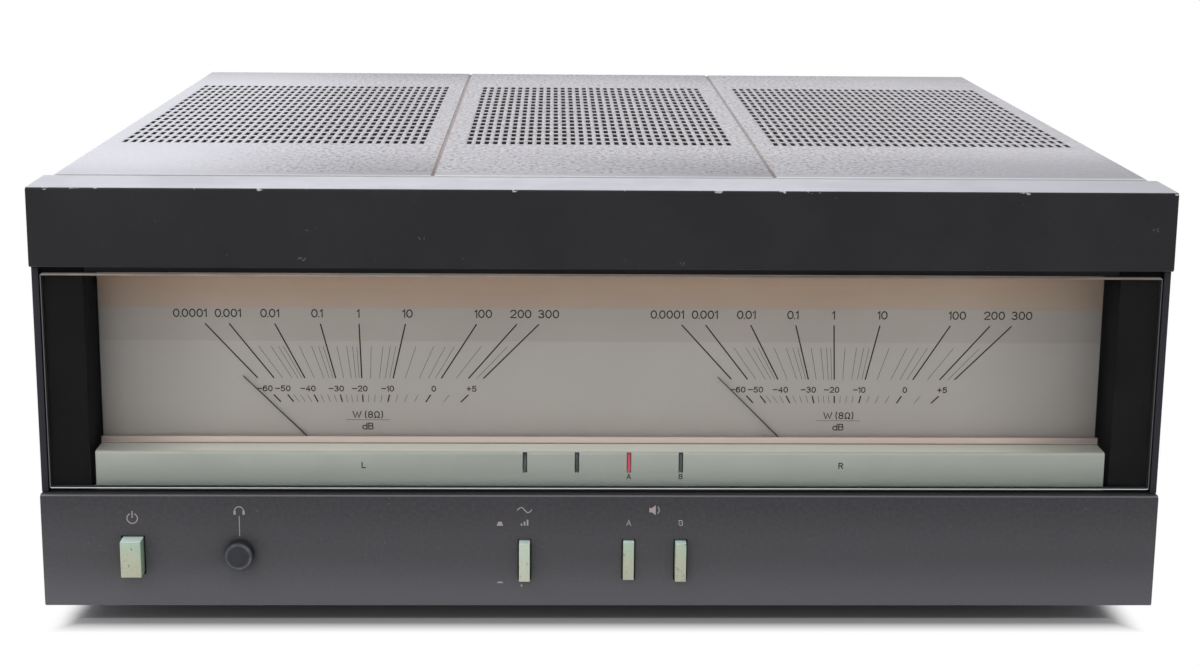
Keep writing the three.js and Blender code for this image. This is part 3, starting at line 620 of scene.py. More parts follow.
def metal(name, tone, roughness, brushing=(1, 1, 1), size=1.2, metallic=0.9):
    """Bare or plated metal with brushed or cast variation."""
    made = Finish(name, roughness, metallic)
    streaks = made.clouds(size, 4, 0.7, brushing)
    made.coat = made.blend(made.ramp(streaks, 0.3, 0.75), tone, tuple(min(255, value + 16) for value in tone))
    stain = made.ramp(made.clouds(22, 3, 0.6), 0.5, 0.8, 0.0, 0.25)
    made.over(stain, tuple(value * 0.75 for value in tone))
    made.set("Roughness", made.ramp(streaks, 0.2, 0.8, roughness - 0.08, roughness + 0.12))
    made.relief(streaks, 0.01)
    return made.done()


def button_metal():
    """Pale plated buttons: mint towards the top, beige below, worn through to green in patches, darker green
    on their right sides with painted shade and with a painted highlight on their top faces.
    """
    low, high = millimetres("output_button")
    made = Finish("button_metal", 0.42, 0.2, 0.4)
    worn = made.clouds(3.2, 4, 0.65)
    fine = made.clouds(0.5, 3, 0.7)
    uneven = made.times(made.math("SUBTRACT", worn, 0.5), 30 * MM)
    mint = made.step(made.math("ADD", made.axis("Z"), uneven), low.z + 6, high.z + 1)
    made.coat = made.blend(mint, (188, 189, 166), (176, 198, 178))
    made.over(made.ramp(fine, 0.5, 0.72, 0.0, 0.55), (146, 166, 146))
    patches = made.clouds(1.7, 3, 0.6, (1, 1, 0.6))
    made.over(made.ramp(patches, 0.64, 0.68, 0.0, 0.85), (84, 128, 106))
    paler = made.blend(0.45, made.coat, (214, 222, 204))
    made.over(made.near("X", middle("output_button").x, 5), paler)
    # Painted shade on the right sides
    made.over(made.turned("X", 0.4, 0.75, 0.0, 0.6), (112, 160, 136))
    # Painted highlight on the top faces
    made.over(made.turned("Z", 0.4, 0.75, 0.0, 0.9), (228, 250, 241))
    made.set("Roughness", made.ramp(worn, 0.3, 0.7, 0.35, 0.55))
    made.relief(fine, 0.02)
    return made.done()


def cap_rubber():
    """The dust cap's rubber, with a painted highlight round its rim."""
    made = painted("cap_rubber", (37, 38, 44), (47, 48, 55), 0.55, 0.35, 5, 0.4, 0.03)
    offset = made.vector("SUBTRACT", made.place, middle("phones_cap") * MM)
    flat = made.vector("MULTIPLY", offset, (1, 0, 1))
    radius = made.node("VectorMath", {0: flat}, operation="LENGTH").outputs["Value"]
    # Painted highlight round the rim, broken up in places
    rim = made.times(made.step(radius, 4.1, 4.7), made.step(radius, 5.2, 5.7, 1.0, 0.0))
    made.over(made.times(rim, made.ramp(made.clouds(3, 3, 0.6), 0.3, 0.7, 0.35, 0.85)), (96, 99, 106))
    return made.done()


def winding():
    """Copper winding under varnish, in fine rings."""
    made = Finish("winding", 0.35, 0.6)
    settings = {"Vector": made.place, "Scale": 900.0, "Distortion": 0.4}
    waves = made.node("TexWave", settings, bands_direction="Z").outputs["Fac"]
    made.coat = made.blend(waves, (120, 70, 36), (184, 116, 62))
    made.relief(waves, 0.15)
    return made.done()


def circuit_board():
    """A green board with paler tracks."""
    made = Finish("circuit_board", 0.45)
    tracks = made.ramp(made.dots(6, 0.6), 0.3, 0.34)
    made.coat = made.blend(tracks, (60, 78, 40), (84, 100, 54))
    made.relief(tracks, 0.03)
    return made.done()


# Moulded and painted finishes: dark and pale tone, roughness, gloss, size of the mottling, and the grain's
# size and depth
MOULDED = {
    "clear_plastic": ((196, 200, 196), (212, 214, 210), 0.2),
    "needle": ((34, 32, 34), (46, 44, 46), 0.45, 0.5, 6),
    "black_plastic": ((26, 26, 28), (36, 36, 38), 0.45, 0.5, 12),
    "rubber": ((40, 41, 47), (56, 57, 64), 0.6, 0.35, 5, 0.4, 0.03),
    "rear_paint": ((48, 47, 50), (58, 57, 60), 0.5, 0.3, 26, 0.7, 0.03),
    "capacitor_sleeve": ((34, 48, 78), (44, 60, 92), 0.3, 0.5, 15),
    "terminal_black": ((24, 24, 26), (34, 34, 36), 0.35, 0.5, 5),
    "terminal_red": ((150, 26, 24), (176, 38, 34), 0.35, 0.5, 5),
}
# Metals: tone, roughness, stretch and size of the brushing, and how metallic they are
METALS = {
    "plated_steel": ((150, 150, 150), 0.35, (1, 0.15, 1)),
    "heat_sink": ((64, 64, 68), 0.5, (1, 1, 0.06), 2, 0.5),
    "transistor_can": ((176, 172, 160), 0.3, (1, 1, 1), 4),
    "core_steel": ((92, 88, 84), 0.5, (0.05, 1, 0.05), 0.8),
    "plated_brass": ((206, 170, 96), 0.25, (1, 0.2, 1)),
}
FINISHES = {
    "header_paint": header_paint(),
    "panel_paint": panel_paint(),
    "black_trim": black_trim(),
    "window_glass": window_glass(),
    "dial_print": dial_face(),
    "ledge_moulding": ledge_finish(),
    "lens_dark": lens("lens_dark", (46, 50, 52), (72, 76, 75), 0),
    "lens_red": lens("lens_red", (164, 38, 64), (196, 66, 92), 0.16),
    "button_metal": button_metal(),
    "cover_paint": cover_paint(),
    "circuit_board": circuit_board(),
    "winding": winding(),
}
FINISHES.update({name: painted(name, *values).done() for name, values in MOULDED.items()})
FINISHES.update({name: metal(name, *values) for name, values in METALS.items()})
GROUND_GLASS = ground_glass()
CUT_EDGE = cut_edge()
CAP_RUBBER = cap_rubber()
DARK_INK = ink("dark_ink", (12, 12, 12), 0.25)
PALE_INK = ink("pale_ink", (168, 158, 156), 0.5)


def as_mesh(name, shape):
    """Turns a bmesh into a mesh with its faces outwards, shaded smooth except across its sharp edges."""
    bmesh.ops.recalc_face_normals(shape, faces=shape.faces)
    mesh = bpy.data.meshes.new(name)
    shape.to_mesh(mesh)
    shape.free()
    mesh.shade_smooth()
    mesh.set_sharp_from_angle(angle=SHADE_ANGLE)
    return mesh


def placed(name, data):
    """Puts a new object in the scene."""
    made = bpy.data.objects.new(name, data)
    bpy.context.scene.collection.objects.link(made)
    return made


def piece(name, mesh, slot, body=ROOT, replaced=(), material=None):
    """Adds a mesh as a piece that rides on a body and stands for the CAD nodes in replaced."""
    made = placed(name, mesh)
    mesh.materials.append(material or FINISHES[slot])
    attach(made, body)
    if replaced:
        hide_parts(*replaced)
    return made


def stand_in(name, mesh, node, material=None):
    """Adds a mesh that stands for one CAD node."""
    return piece(name, mesh, SLOT_OF[node], BODY_OF[node], [node], material)


def paint(node):
    """Gives a CAD node its finish."""
    for slot in frame["nodes"][node].material_slots:
        slot.material = FINISHES[SLOT_OF[node]]


def rounded_copy(node, radius, steps=2):
    """A piece that stands for a CAD node, the same but with its sharp edges rounded."""
    shape = bmesh.new()
    shape.from_mesh(frame["nodes"][node].data)
    bmesh.ops.remove_doubles(shape, verts=shape.verts, dist=WELD * MM)
    bmesh.ops.dissolve_limit(shape, angle_limit=FLAT_ANGLE, verts=shape.verts, edges=shape.edges)
    sharp = [edge for edge in shape.edges if edge.is_manifold and edge.calc_face_angle() > SHARP_ANGLE]
    bmesh.ops.bevel(shape, geom=sharp, offset=radius * MM, segments=steps, profile=0.5, affect="EDGES",
                    clamp_overlap=True)
    return stand_in("dressed_" + node, as_mesh(node + "_rounded", shape), node)


def band(shape, lower, upper):
    """Faces between two closed rings of points. A ring of one point is a pole."""
    steps = max(len(lower), len(upper))
    for step in range(steps):
        after = (step + 1) % steps
        corners = [lower[step % len(lower)], lower[after % len(lower)],
                   upper[after % len(upper)], upper[step % len(upper)]]
        kept = list(dict.fromkeys(corners))
        if len(kept) > 2:
            shape.faces.new(kept)


def ring(shape, centre, radius, along, steps, wave=0, waves=0):
    """A closed ring of points round a line along Y, waved in and out where wave isn't zero."""
    made = []
    for step in range(steps):
        turn = math.tau * step / steps
        reach = radius + wave * math.cos(waves * turn)
        offset = Vector((reach * math.cos(turn), along, reach * math.sin(turn)))
        made.append(shape.verts.new((centre + offset) * MM))
    return made


def spun(profile, centre, steps=48, waves=0):
    """A solid turned about a line along Y, from radii, places along the line and depths of waves."""
    shape = bmesh.new()
    rings = [ring(shape, centre, radius, along, steps if radius else 1, wave, waves)
             for radius, along, wave in profile]
    for lower, upper in zip(rings, rings[1:]):
        band(shape, lower, upper)
    return shape


def centre_line(node):
    """The place across and up of a round CAD node's axis, which runs along Y."""
    low, high = millimetres(node)
    return Vector(((low.x + high.x) / 2, 0, (low.z + high.z) / 2))


class Sheet:
    """Faces of one sheet that share their corners."""

    def __init__(self):
        self.shape = bmesh.new()
        self.corners = {}

    def corner(self, place):
        key = tuple(round(value, 4) for value in place)
        if key not in self.corners:
            self.corners[key] = self.shape.verts.new(Vector(place) * MM)
        return self.corners[key]

    def face(self, places):
        self.shape.faces.new([self.corner(place) for place in places])


def slot_side(x, y, side):
    """One side of a slot's outline, from the middle of its front end to that of its back end."""
    across = [0, SLOT_WIDTH / 2 - SLOT_CORNER, SLOT_WIDTH / 2]
    along = [SLOT_LENGTH / 2, SLOT_LENGTH / 2, SLOT_LENGTH / 2 - SLOT_CORNER]
    front = [(x + side * out, y - reach) for out, reach in zip(across, along)]
    return front + [(px, 2 * y - py) for px, py in reversed(front)]


def vent_field(sheet, left, right, field, rows, level):
    """The flat panel between two places across it, with its slots and the plain margins round them."""
    room = field[1] - field[0] - 2 * SLOT_MARGIN - SLOT_WIDTH
    count = math.floor(room / SLOT_PITCH) + 1
    start = (field[0] + field[1]) / 2 - count * SLOT_PITCH / 2
    columns = [start + column * SLOT_PITCH for column in range(count + 1)]
    first, front, back, last = rows
    levels = [front + row * SLOT_ROW_PITCH for row in range(SLOT_ROWS + 1)]
    flat = lambda points: [(x, y, level) for x, y in points]
    ticks = sorted(columns + [(a + b) / 2 for a, b in zip(columns, columns[1:])])
    for column in range(count):
        x0, x1 = columns[column], columns[column + 1]
        x = (x0 + x1) / 2
        for row in range(SLOT_ROWS):
            y0, y1 = levels[row], levels[row + 1]
            y = (y0 + y1) / 2
            sheet.face(flat([(x, y0), (x1, y0), (x1, y1), (x, y1)] + slot_side(x, y, 1)[::-1]))
            sheet.face(flat([(x, y1), (x0, y1), (x0, y0), (x, y0)] + slot_side(x, y, -1)))
    sheet.face(flat([(left, first), (right, first), (right, front)] + [(x, front) for x in ticks[::-1]]
                    + [(left, front)]))
    sheet.face(flat([(right, last), (left, last), (left, back)] + [(x, back) for x in ticks]
                    + [(right, back)]))
    sheet.face(flat([(left, front)] + [(columns[0], y) for y in levels] + [(left, back)]))
    sheet.face(flat([(right, back)] + [(columns[-1], y) for y in levels[::-1]] + [(right, front)]))


def make_cover():
    """The folded cover: sides, rounded bends, grooves and three fields of slots in one sheet."""
    low, high = millimetres("top_cover")
    front = FRONT + SLOT_FIRST_ROW - SLOT_ROW_PITCH / 2
    rows = [low.y, front, front + SLOT_ROWS * SLOT_ROW_PITCH, high.y]
    bend = [(high.x - BEND_RADIUS * (1 - math.sin(t)), high.z - BEND_RADIUS * (1 - math.cos(t)))
            for t in [math.pi / 2 * step / BEND_STEPS for step in range(BEND_STEPS + 1)]]
    outer, inner = GROOVE_PLACE + GROOVE_WIDTH / 2, GROOVE_PLACE - GROOVE_WIDTH / 2
    bed = high.z - GROOVE_DEPTH
    right_groove = [(inner, high.z), (inner + GROOVE_SLOPE, bed), (outer - GROOVE_SLOPE, bed),
                    (outer, high.z)]
    right_half = bend + [(high.x, low.z)]
    mirrored = lambda points: [(-x, z) for x, z in points[::-1]]
    strips = [mirrored(right_half), mirrored(right_groove), right_groove, right_half]
    sheet = Sheet()
    for strip in strips:
        for (x0, z0), (x1, z1) in zip(strip, strip[1:]):
            for y0, y1 in zip(rows, rows[1:]):
                sheet.face([(x0, y0, z0), (x1, y0, z1), (x1, y1, z1), (x0, y1, z0)])
    edge = high.x - BEND_RADIUS
    fields = [(-high.x, -GROOVE_PLACE), (-GROOVE_PLACE, GROOVE_PLACE), (GROOVE_PLACE, high.x)]
    for (left, right), field in zip([(-edge, -outer), (-inner, inner), (outer, edge)], fields):
        vent_field(sheet, left, right, field, rows, high.z)
    made = piece("cover_sheet", as_mesh("cover_sheet", sheet.shape), "cover_paint", ROOT, ["top_cover"])
    made.data.materials.append(CUT_EDGE)
    folded = made.modifiers.new("thickness", "SOLIDIFY")
    folded.thickness = SHEET * MM
    folded.offset = -1
    folded.use_even_offset = True
    folded.material_offset = 1
    folded.material_offset_rim = 1


def bow(x, z, across, up, first, last, steps=12):
    """Points on part of an oval, between two angles in degrees."""
    turns = [math.radians(first + (last - first) * step / steps) for step in range(steps + 1)]
    return [(x + across * math.cos(turn), z + up * math.sin(turn)) for turn in turns]


# Letters as pen strokes in a square: each one's width beside a digit's, and its strokes
LETTERS = {
    "0": (1, [bow(0.5, 0.5, 0.5, 0.5, 0, 360, 24)]),
    "1": (0.45, [[(0, 0.78), (1, 1), (1, 0)]]),
    "2": (1, [bow(0.5, 0.72, 0.5, 0.28, 165, -35) + [(0, 0), (1, 0)]]),
    "3": (1, [bow(0.48, 0.76, 0.42, 0.24, 150, -90), bow(0.5, 0.26, 0.5, 0.26, 90, -150)]),
    "4": (1, [[(0.75, 0), (0.75, 1), (0, 0.3), (1, 0.3)]]),
    "5": (1, [[(0.92, 1), (0.17, 1)] + bow(0.48, 0.33, 0.52, 0.33, 140, -150)]),
    "6": (1, [bow(0.5, 0.32, 0.5, 0.32, 0, 360, 24), bow(0.55, 0.5, 0.55, 0.5, 50, 200)]),
    "8": (1, [bow(0.5, 0.76, 0.42, 0.24, 0, 360, 24), bow(0.5, 0.26, 0.5, 0.26, 0, 360, 24)]),
    ".": (0.05, [[(0.5, 0), (0.5, 0.01)]]),
    "+": (1, [[(0, 0.5), (1, 0.5)], [(0.5, 0.14), (0.5, 0.86)]]),
    "-": (1.05, [[(0, 0.5), (1, 0.5)]]),
    "(": (0.42, [bow(1.15, 0.5, 1.15, 0.64, 115, 245)]),
    ")": (0.42, [bow(-0.15, 0.5, 1.15, 0.64, 65, -65)]),
    " ": (0.35, []),
    "A": (1.1, [[(0, 0), (0.5, 1), (1, 0)], [(0.18, 0.34), (0.82, 0.34)]]),
    "B": (1, [[(0, 0), (0, 1)] + bow(0.55, 0.77, 0.38, 0.23, 90, -90) + [(0, 0.54)],
              [(0.5, 0.54)] + bow(0.57, 0.27, 0.43, 0.27, 90, -90) + [(0, 0)]]),
    "L": (0.9, [[(0, 1), (0, 0), (1, 0)]]),
    "R": (1, [[(0, 0), (0, 1)] + bow(0.57, 0.75, 0.4, 0.25, 90, -90) + [(0, 0.5)], [(0.5, 0.5), (1, 0)]]),
    "W": (1.7, [[(0, 1), (0.27, 0), (0.5, 0.9), (0.73, 0), (1, 1)]]),
    "d": (1, [[(1, 1), (1, 0)], bow(0.5, 0.33, 0.5, 0.33, 0, 360, 24)]),
    "Ω": (1.15, [[(0, 0), (0.33, 0)] + bow(0.5, 0.55, 0.46, 0.45, 245, -65) + [(0.67, 0), (1, 0)]]),
}


class Marks:
    """Printed marks gathered into one thin mesh on a flat surface that faces the front or the back."""

    def __init__(self, level, facing=-1):
        self.shape = bmesh.new()
        self.level = level
        self.facing = facing
        self.rises = (0, facing * INK)

    def point(self, across, up, rise):
        return self.shape.verts.new(Vector((across, self.level + rise, up)) * MM)

    def area(self, points):
        """A filled outline of places across and up."""
        loops = [[self.point(x, z, rise) for x, z in points] for rise in self.rises]
        for loop in loops:
            self.shape.faces.new(loop)
        band(self.shape, *loops)

    def stroke(self, points, width):
        """A pen stroke along points, mitred where it turns and closed where it ends at its start."""
        way = [Vector(point) for point in points]
        closed = (way[0] - way[-1]).length < WELD
        if closed:
            way.pop()
        else:
            way[0] += (way[0] - way[1]).normalized() * width / 2
            way[-1] += (way[-1] - way[-2]).normalized() * width / 2
        legs = [(after - before).normalized() for before, after in zip(way, way[1:] + way[:1])]
        if not closed:
            legs[-1] = legs[-2]
        low, high = self.rises
        rims = []
        for step, (point, ahead) in enumerate(zip(way, legs)):
            behind = legs[step - 1] if closed or step else ahead
            along = (behind + ahead).normalized()
            reach = width / 2 / max(0.5, along.dot(behind))
            side = Vector((-along.y, along.x)) * reach
            rim = ((point - side, low), (point + side, low), (point + side, high), (point - side, high))
            rims.append([self.point(place.x, place.y, rise) for place, rise in rim])
        for first, second in zip(rims, rims[1:] + (rims[:1] if closed else [])):
            band(self.shape, first, second)
        if not closed:
            self.shape.faces.new(rims[0])
            self.shape.faces.new(rims[-1][::-1])

    def line(self, start, end, width):
        """A straight line from start to end, which its pen doesn't overrun."""
        along = (Vector(end) - Vector(start)).normalized() * width / 2
        self.stroke([tuple(Vector(start) + along), tuple(Vector(end) - along)], width)

    def arc(self, centre, radius, first, last, width, steps=20):
        """Part of a ring, between two angles in degrees."""
        self.stroke(bow(centre[0], centre[1], radius, radius, first, last, steps), width)

    def text(self, words, height, x, z, pen):
        """Letters of that height in strokes of that width, centred at a place."""
        gap = LETTER_GAP * height
        widths = [LETTERS[letter][0] * LETTER_SHARE * height for letter in words]
        start = -(sum(widths) + gap * (len(words) - 1)) / 2
        for letter, width in zip(words, widths):
            for stroke in LETTERS[letter][1]:
                self.stroke([(x - self.facing * (start + pen / 2 + across * (width - pen)),
                              z + (up - 0.5) * (height - pen)) for across, up in stroke], pen)
            start += width + gap

    def finish(self, name, slot, material):
        bmesh.ops.remove_doubles(self.shape, verts=self.shape.verts, dist=WELD * MM / 10)
        return piece(name, as_mesh(name, self.shape), slot, material=material)


def scale_angle(level):
    """The needle's angle in degrees at a level in decibels, along a smooth curve through the main marks."""
    marks = SCALE_MARKS
    index = max(i for i in range(len(marks) - 1) if i == 0 or marks[i][0] <= level)
    (d0, a0), (d1, a1) = marks[index], marks[index + 1]
    slope = (a1 - a0) / (d1 - d0)

    def tangent(i):
        if i in (0, len(marks) - 1):
            return slope
        (da, aa), (dc, ac) = marks[i - 1], marks[i + 1]
        return (ac - aa) / (dc - da)

    span = d1 - d0
    t = (level - d0) / span
    start, end = tangent(index) * span, tangent(index + 1) * span
    rise = a1 - a0
    return a0 + t * start + t * t * (3 * rise - 2 * start - end) + t ** 3 * (start + end - 2 * rise)


def power_level(watts):
    """A power's level in decibels under full power."""
    return 10 * math.log10(watts / FULL_POWER)


def scale_mark(marks, pivot, level, foot, top, width):
    """A mark that points at the needle's pivot, between two heights. Returns where its top is."""
    slope = math.tan(math.radians(scale_angle(level)))
    ends = [(pivot[0] + (height - pivot[1]) * slope, height) for height in (foot, top)]
    marks.line(ends[0], ends[1], width)
    return ends[1][0]


def make_dial(side):
    """One meter's printed scales: power in watts above, level in decibels below."""
    plate = millimetres("scale_plate")[0]
    movement = middle("meter_movement_" + side)
    pivot = (movement.x, movement.z)
    marks = Marks(plate.y)
    main_powers = [10.0 ** decade for decade in DECADES] + [100.0, 200.0, 300.0]
    for watts, (words, offset) in zip(main_powers, POWER_LABELS):
        x = scale_mark(marks, pivot, power_level(watts), POWER_FOOT, MAJOR_TOP, MAJOR_WIDTH)
        marks.text(words, POWER_DIGIT, x + offset, POWER_LABEL_LEVEL, POWER_PEN)
    minor_powers = [share * 10.0 ** decade for decade in DECADES[1:] for share in (2, 4, 6, 8)] + [150, 250]
    for watts in minor_powers:
        scale_mark(marks, pivot, power_level(watts), POWER_FOOT, MINOR_TOP, MINOR_WIDTH)
    for level, offset in LEVEL_LABELS:
        x = scale_mark(marks, pivot, level, LEVEL_FOOT, LEVEL_TOP, MAJOR_WIDTH)
        marks.text(f"{level:+d}" if level else "0", LEVEL_DIGIT, x + offset, LEVEL_LABEL_LEVEL, LEVEL_PEN)
    for quarter in range(-19, 2):
        if quarter % 4:
            scale_mark(marks, pivot, 2.5 * quarter, LEVEL_FOOT, LEVEL_TOP, MINOR_WIDTH)
    centre = pivot[0] + UNIT_OFFSET
    marks.text("W (8Ω)", UNIT_LETTER, centre, UNIT_LEVEL, UNIT_PEN)
    marks.text("dB", UNIT_LETTER, centre, SECOND_UNIT_LEVEL, UNIT_PEN)
    half = UNIT_RULE / 2
    marks.line((centre - half, UNIT_RULE_LEVEL), (centre + half, UNIT_RULE_LEVEL), MINOR_WIDTH)
    marks.finish("dial_marks_" + side, "dial_print", DARK_INK)


def make_ledge_marks():
    """Plain letters on the ledge for the two channels and the two pairs of speakers."""
    marks = Marks(millimetres("window_ledge")[0].y)
    for side, letter in (("left", "L"), ("right", "R")):
        marks.text(letter, 2.6, middle("meter_movement_" + side).x, CHANNEL_LEVEL, 0.42)
    for number, letter in ((3, "A"), (4, "B")):
        marks.text(letter, 2.2, middle(f"indicator_lens_{number}").x, LENS_LETTER_LEVEL, 0.36)
    marks.finish("ledge_marks", "ledge_moulding", DARK_INK)


def trapezoid(marks, x, z, height):
    """A button seen from its side: out if tall, in if low."""
    foot, top = KEY_MARK / 2, KEY_MARK * 0.26
    marks.area([(x - foot, z - height / 2), (x + foot, z - height / 2), (x + top, z + height / 2),
                (x - top, z + height / 2)])


def make_panel_marks():
    """Plain symbols over the controls: power, headphones, a wave with bars, a loudspeaker, A and B."""
    marks = Marks(millimetres("lower_panel")[0].y)
    power, phones, output, main, remote = [middle(node).x for node in (
        "power_button", "phones_cap", "output_button", "speaker_button_main", "speaker_button_remote")]
    marks.arc((power, POWER_LEVEL), 2.1, 120, 420, SYMBOL_PEN)
    marks.line((power, POWER_LEVEL + 0.2), (power, POWER_LEVEL + 3.1), SYMBOL_PEN)
    marks.line((phones, PHONES_LEVEL - 10.6), (phones, PHONES_LEVEL - 2.1), 0.3)
    marks.arc((phones, PHONES_LEVEL), PHONES_RADIUS, 0, 180, 0.36)
    for ear in (phones - PHONES_RADIUS, phones + PHONES_RADIUS):
        marks.line((ear, PHONES_LEVEL - 1.5), (ear, PHONES_LEVEL + 0.2), 0.9)
    for level, height in KEY_MARKS:
        trapezoid(marks, output - KEY_MARK_OFFSET, level, height)
    for step, height in enumerate(BARS):
        x = output + (step - 1) * BAR_PITCH
        marks.line((x, BAR_LEVEL), (x, BAR_LEVEL + height), BAR_WIDTH)
    marks.line((output - BAR_PITCH, LOW_BAR[0]), (output - BAR_PITCH, LOW_BAR[1]), BAR_WIDTH)
    shares = [step / 24 for step in range(25)]
    marks.stroke([(output + WAVE_LENGTH * (share - 0.5), SYMBOL_LEVEL + 1.1 * math.sin(math.tau * share))
                  for share in shares], SYMBOL_PEN)
    centre = (main + remote) / 2
    marks.area([(centre + across, SYMBOL_LEVEL + up) for across, up in LOUDSPEAKER])
    marks.arc((centre - 0.2, SYMBOL_LEVEL), 1.9, -45, 45, 0.34, 8)
    for place, letter in ((main, "A"), (remote, "B")):
        marks.text(letter, 2.4, place, SPEAKER_LETTER_LEVEL, 0.36)
    marks.finish("panel_marks", "panel_paint", PALE_INK)


def make_rear_marks():
    """Plain letters and lines by the sockets on the back."""
    marks = Marks(millimetres("rear_panel")[1].y, 1)
    columns = [middle(f"terminal_cap_{number}").x for number in range(1, 5)]
    block = millimetres("terminal_block")[1]
    for letter, (start, end) in (("A", columns[2:]), ("B", columns[:2])):
        marks.text(letter, 4, (start + end) / 2, block.z + 14, 0.5)
        marks.line((start - 6, block.z + 9), (end + 6, block.z + 9), 0.4)
    for x, letter in zip(columns, "RLRL"):
        marks.text(letter, 3, x, block.z + 5, 0.4)
    for number, sign in ((5, "+"), (1, "-")):
        marks.text(sign, 4, block.x + 6, middle(f"terminal_cap_{number}").z, 0.5)
    for channel, letter in (("left", "L"), ("right", "R")):
        jack = middle("input_jack_" + channel)
        marks.text(letter, 3.5, jack.x + 13, jack.z, 0.45)
    marks.finish("rear_marks", "rear_paint", PALE_INK)


def make_glass():
    """The window pane with its ground edges."""
    made = rounded_copy("window_glass", GLASS_EDGE, 1)
    made.data.materials.append(GROUND_GLASS)
    for face in made.data.polygons:
        face.material_index = 0 if abs(face.normal.y) > 0.9 else 1


def make_dust_cap():
    """The soft cap over the headphone socket: a rounded shoulder and a shallow dish."""
    low, high = millimetres("phones_cap")
    outer = (high.x - low.x) / 2
    front, back = low.y, high.y
    bore = outer - CAP_WALL
    turns = [math.pi / 2 * step / CAP_SHOULDER_STEPS for step in range(CAP_SHOULDER_STEPS + 1)]
    shoulder = [(outer - CAP_SHOULDER + CAP_SHOULDER * math.sin(turn),
                 front + CAP_SHOULDER - CAP_SHOULDER * math.cos(turn), 0) for turn in turns]
    profile = [(outer * share, front + depth, 0) for share, depth in DISH] + shoulder
    profile += [(outer, back - 0.3, 0), (outer - 0.2, back, 0), (bore, back, 0),
                (bore, front + CAP_SEAT, 0), (0, front + CAP_SEAT, 0)]
    mesh = as_mesh("dust_cap", spun(profile, centre_line("phones_cap")))
    stand_in("dust_cap", mesh, "phones_cap", CAP_RUBBER)


def make_terminal_cap(node):
    """A turned cap with a fluted grip, a smooth collar and a socket for a plug in its end."""
    low, high = millimetres(node)
    foot, end = low.y, high.y
    body = (high.x - low.x) / 2 - FLUTE_DEPTH
    collar = body - 0.2
    floor = end - PLUG_DEPTH
    under = end - TERMINAL_WALL
    profile = [(TERMINAL_BORE, foot, 0), (body - 0.6, foot, 0), (collar, foot + 0.4, 0),
               (collar, foot + COLLAR_LENGTH, 0), (body, foot + COLLAR_LENGTH + 0.6, FLUTE_DEPTH),
               (body, end - 1.2, FLUTE_DEPTH), (body - 0.5, end - 0.3, FLUTE_DEPTH / 2), (body - 1.2, end, 0),
               (PLUG_RIM, end, 0), (PLUG_RADIUS, end - 0.5, 0), (PLUG_RADIUS, floor, 0), (0, floor, 0),
               (0, under, 0), (TERMINAL_BORE, under, 0), (TERMINAL_BORE, foot, 0)]
    shape = spun(profile, centre_line(node), FLUTES * FLUTE_STEPS, FLUTES)
    bmesh.ops.remove_doubles(shape, verts=shape.verts, dist=WELD * MM)
    stand_in("turned_" + node, as_mesh(node, shape), node)


def screw_head(radius, height):
    """A domed screw head with a cross recess, its seat at zero and its top along Z."""
    shape = bmesh.new()
    arm, half, depth = radius * 0.62, radius * 0.13, height * 0.55
    quarter, count = 8, 32
    up = lambda x, y, z: shape.verts.new(Vector((x, y, z)) * MM)
    rings = [(radius, 0), (radius, height * 0.35), (radius * 0.9, height * 0.75), (radius * 0.72, height)]
    turns = [math.tau * step / count for step in range(count)]
    circles = [[up(reach * math.cos(turn), reach * math.sin(turn), z) for turn in turns]
               for reach, z in rings]
    shape.faces.new(circles[0][::-1])
    for lower, upper in zip(circles, circles[1:]):
        band(shape, lower, upper)
    cross = []
    for number in range(4):
        turn = Matrix.Rotation(math.pi / 2 * number, 2)
        cross += [turn @ Vector(point) for point in ((arm, 0), (arm, half), (half, half), (half, arm))]
    rim = [up(x, y, height) for x, y in cross]
    bed = [up(x, y, height - depth) for x, y in cross]
    for number in range(4):
        arc = [circles[-1][(number * quarter + step) % count] for step in range(quarter + 1)]
        inside = [rim[(number * 4 + step) % 16] for step in range(5)]
        shape.faces.new(arc + inside[::-1])
    band(shape, rim, bed)
    shape.faces.new(bed)
    return as_mesh("screw_head", shape)


def place_screw(name, size, place, direction, turn):
    """A screw whose head stands out of a surface in that direction."""
    made = piece(name, screw_head(*size), "plated_steel", material=FINISHES["black_plastic"])
    aim = Vector((0, 0, 1)).rotation_difference(Vector(direction)).to_matrix().to_4x4()
    made.matrix_world = Matrix.Translation(Vector(place) * MM) @ aim @ Matrix.Rotation(turn, 4, "Z")


def make_screws():
    """Screws along the cover's sides and round the rear panel."""
    cover_low, cover_high = millimetres("top_cover")
    rear_low, rear_high = millimetres("rear_panel")
    for side, sign in (("left", -1), ("right", 1)):
        for number, share in enumerate(COVER_SCREW_SHARES):
            y = cover_low.y + (cover_high.y - cover_low.y) * share
            place = (sign * cover_high.x, y, cover_low.z + COVER_SCREW_INSET)
            place_screw(f"cover_screw_{side}_{number + 1}", COVER_SCREW, place, (sign, 0, 0), 0.4 + number)
    rows = (("top", rear_high.z - REAR_SCREW_INSET), ("foot", rear_low.z + REAR_SCREW_INSET))
    for number, share in enumerate(REAR_SCREW_SHARES):
        x = rear_low.x + (rear_high.x - rear_low.x) * share
        for row, z in rows:
            place_screw(f"rear_screw_{row}_{number + 1}", REAR_SCREW, (x, rear_high.y, z), (0, 1, 0),
                        number * 0.7)


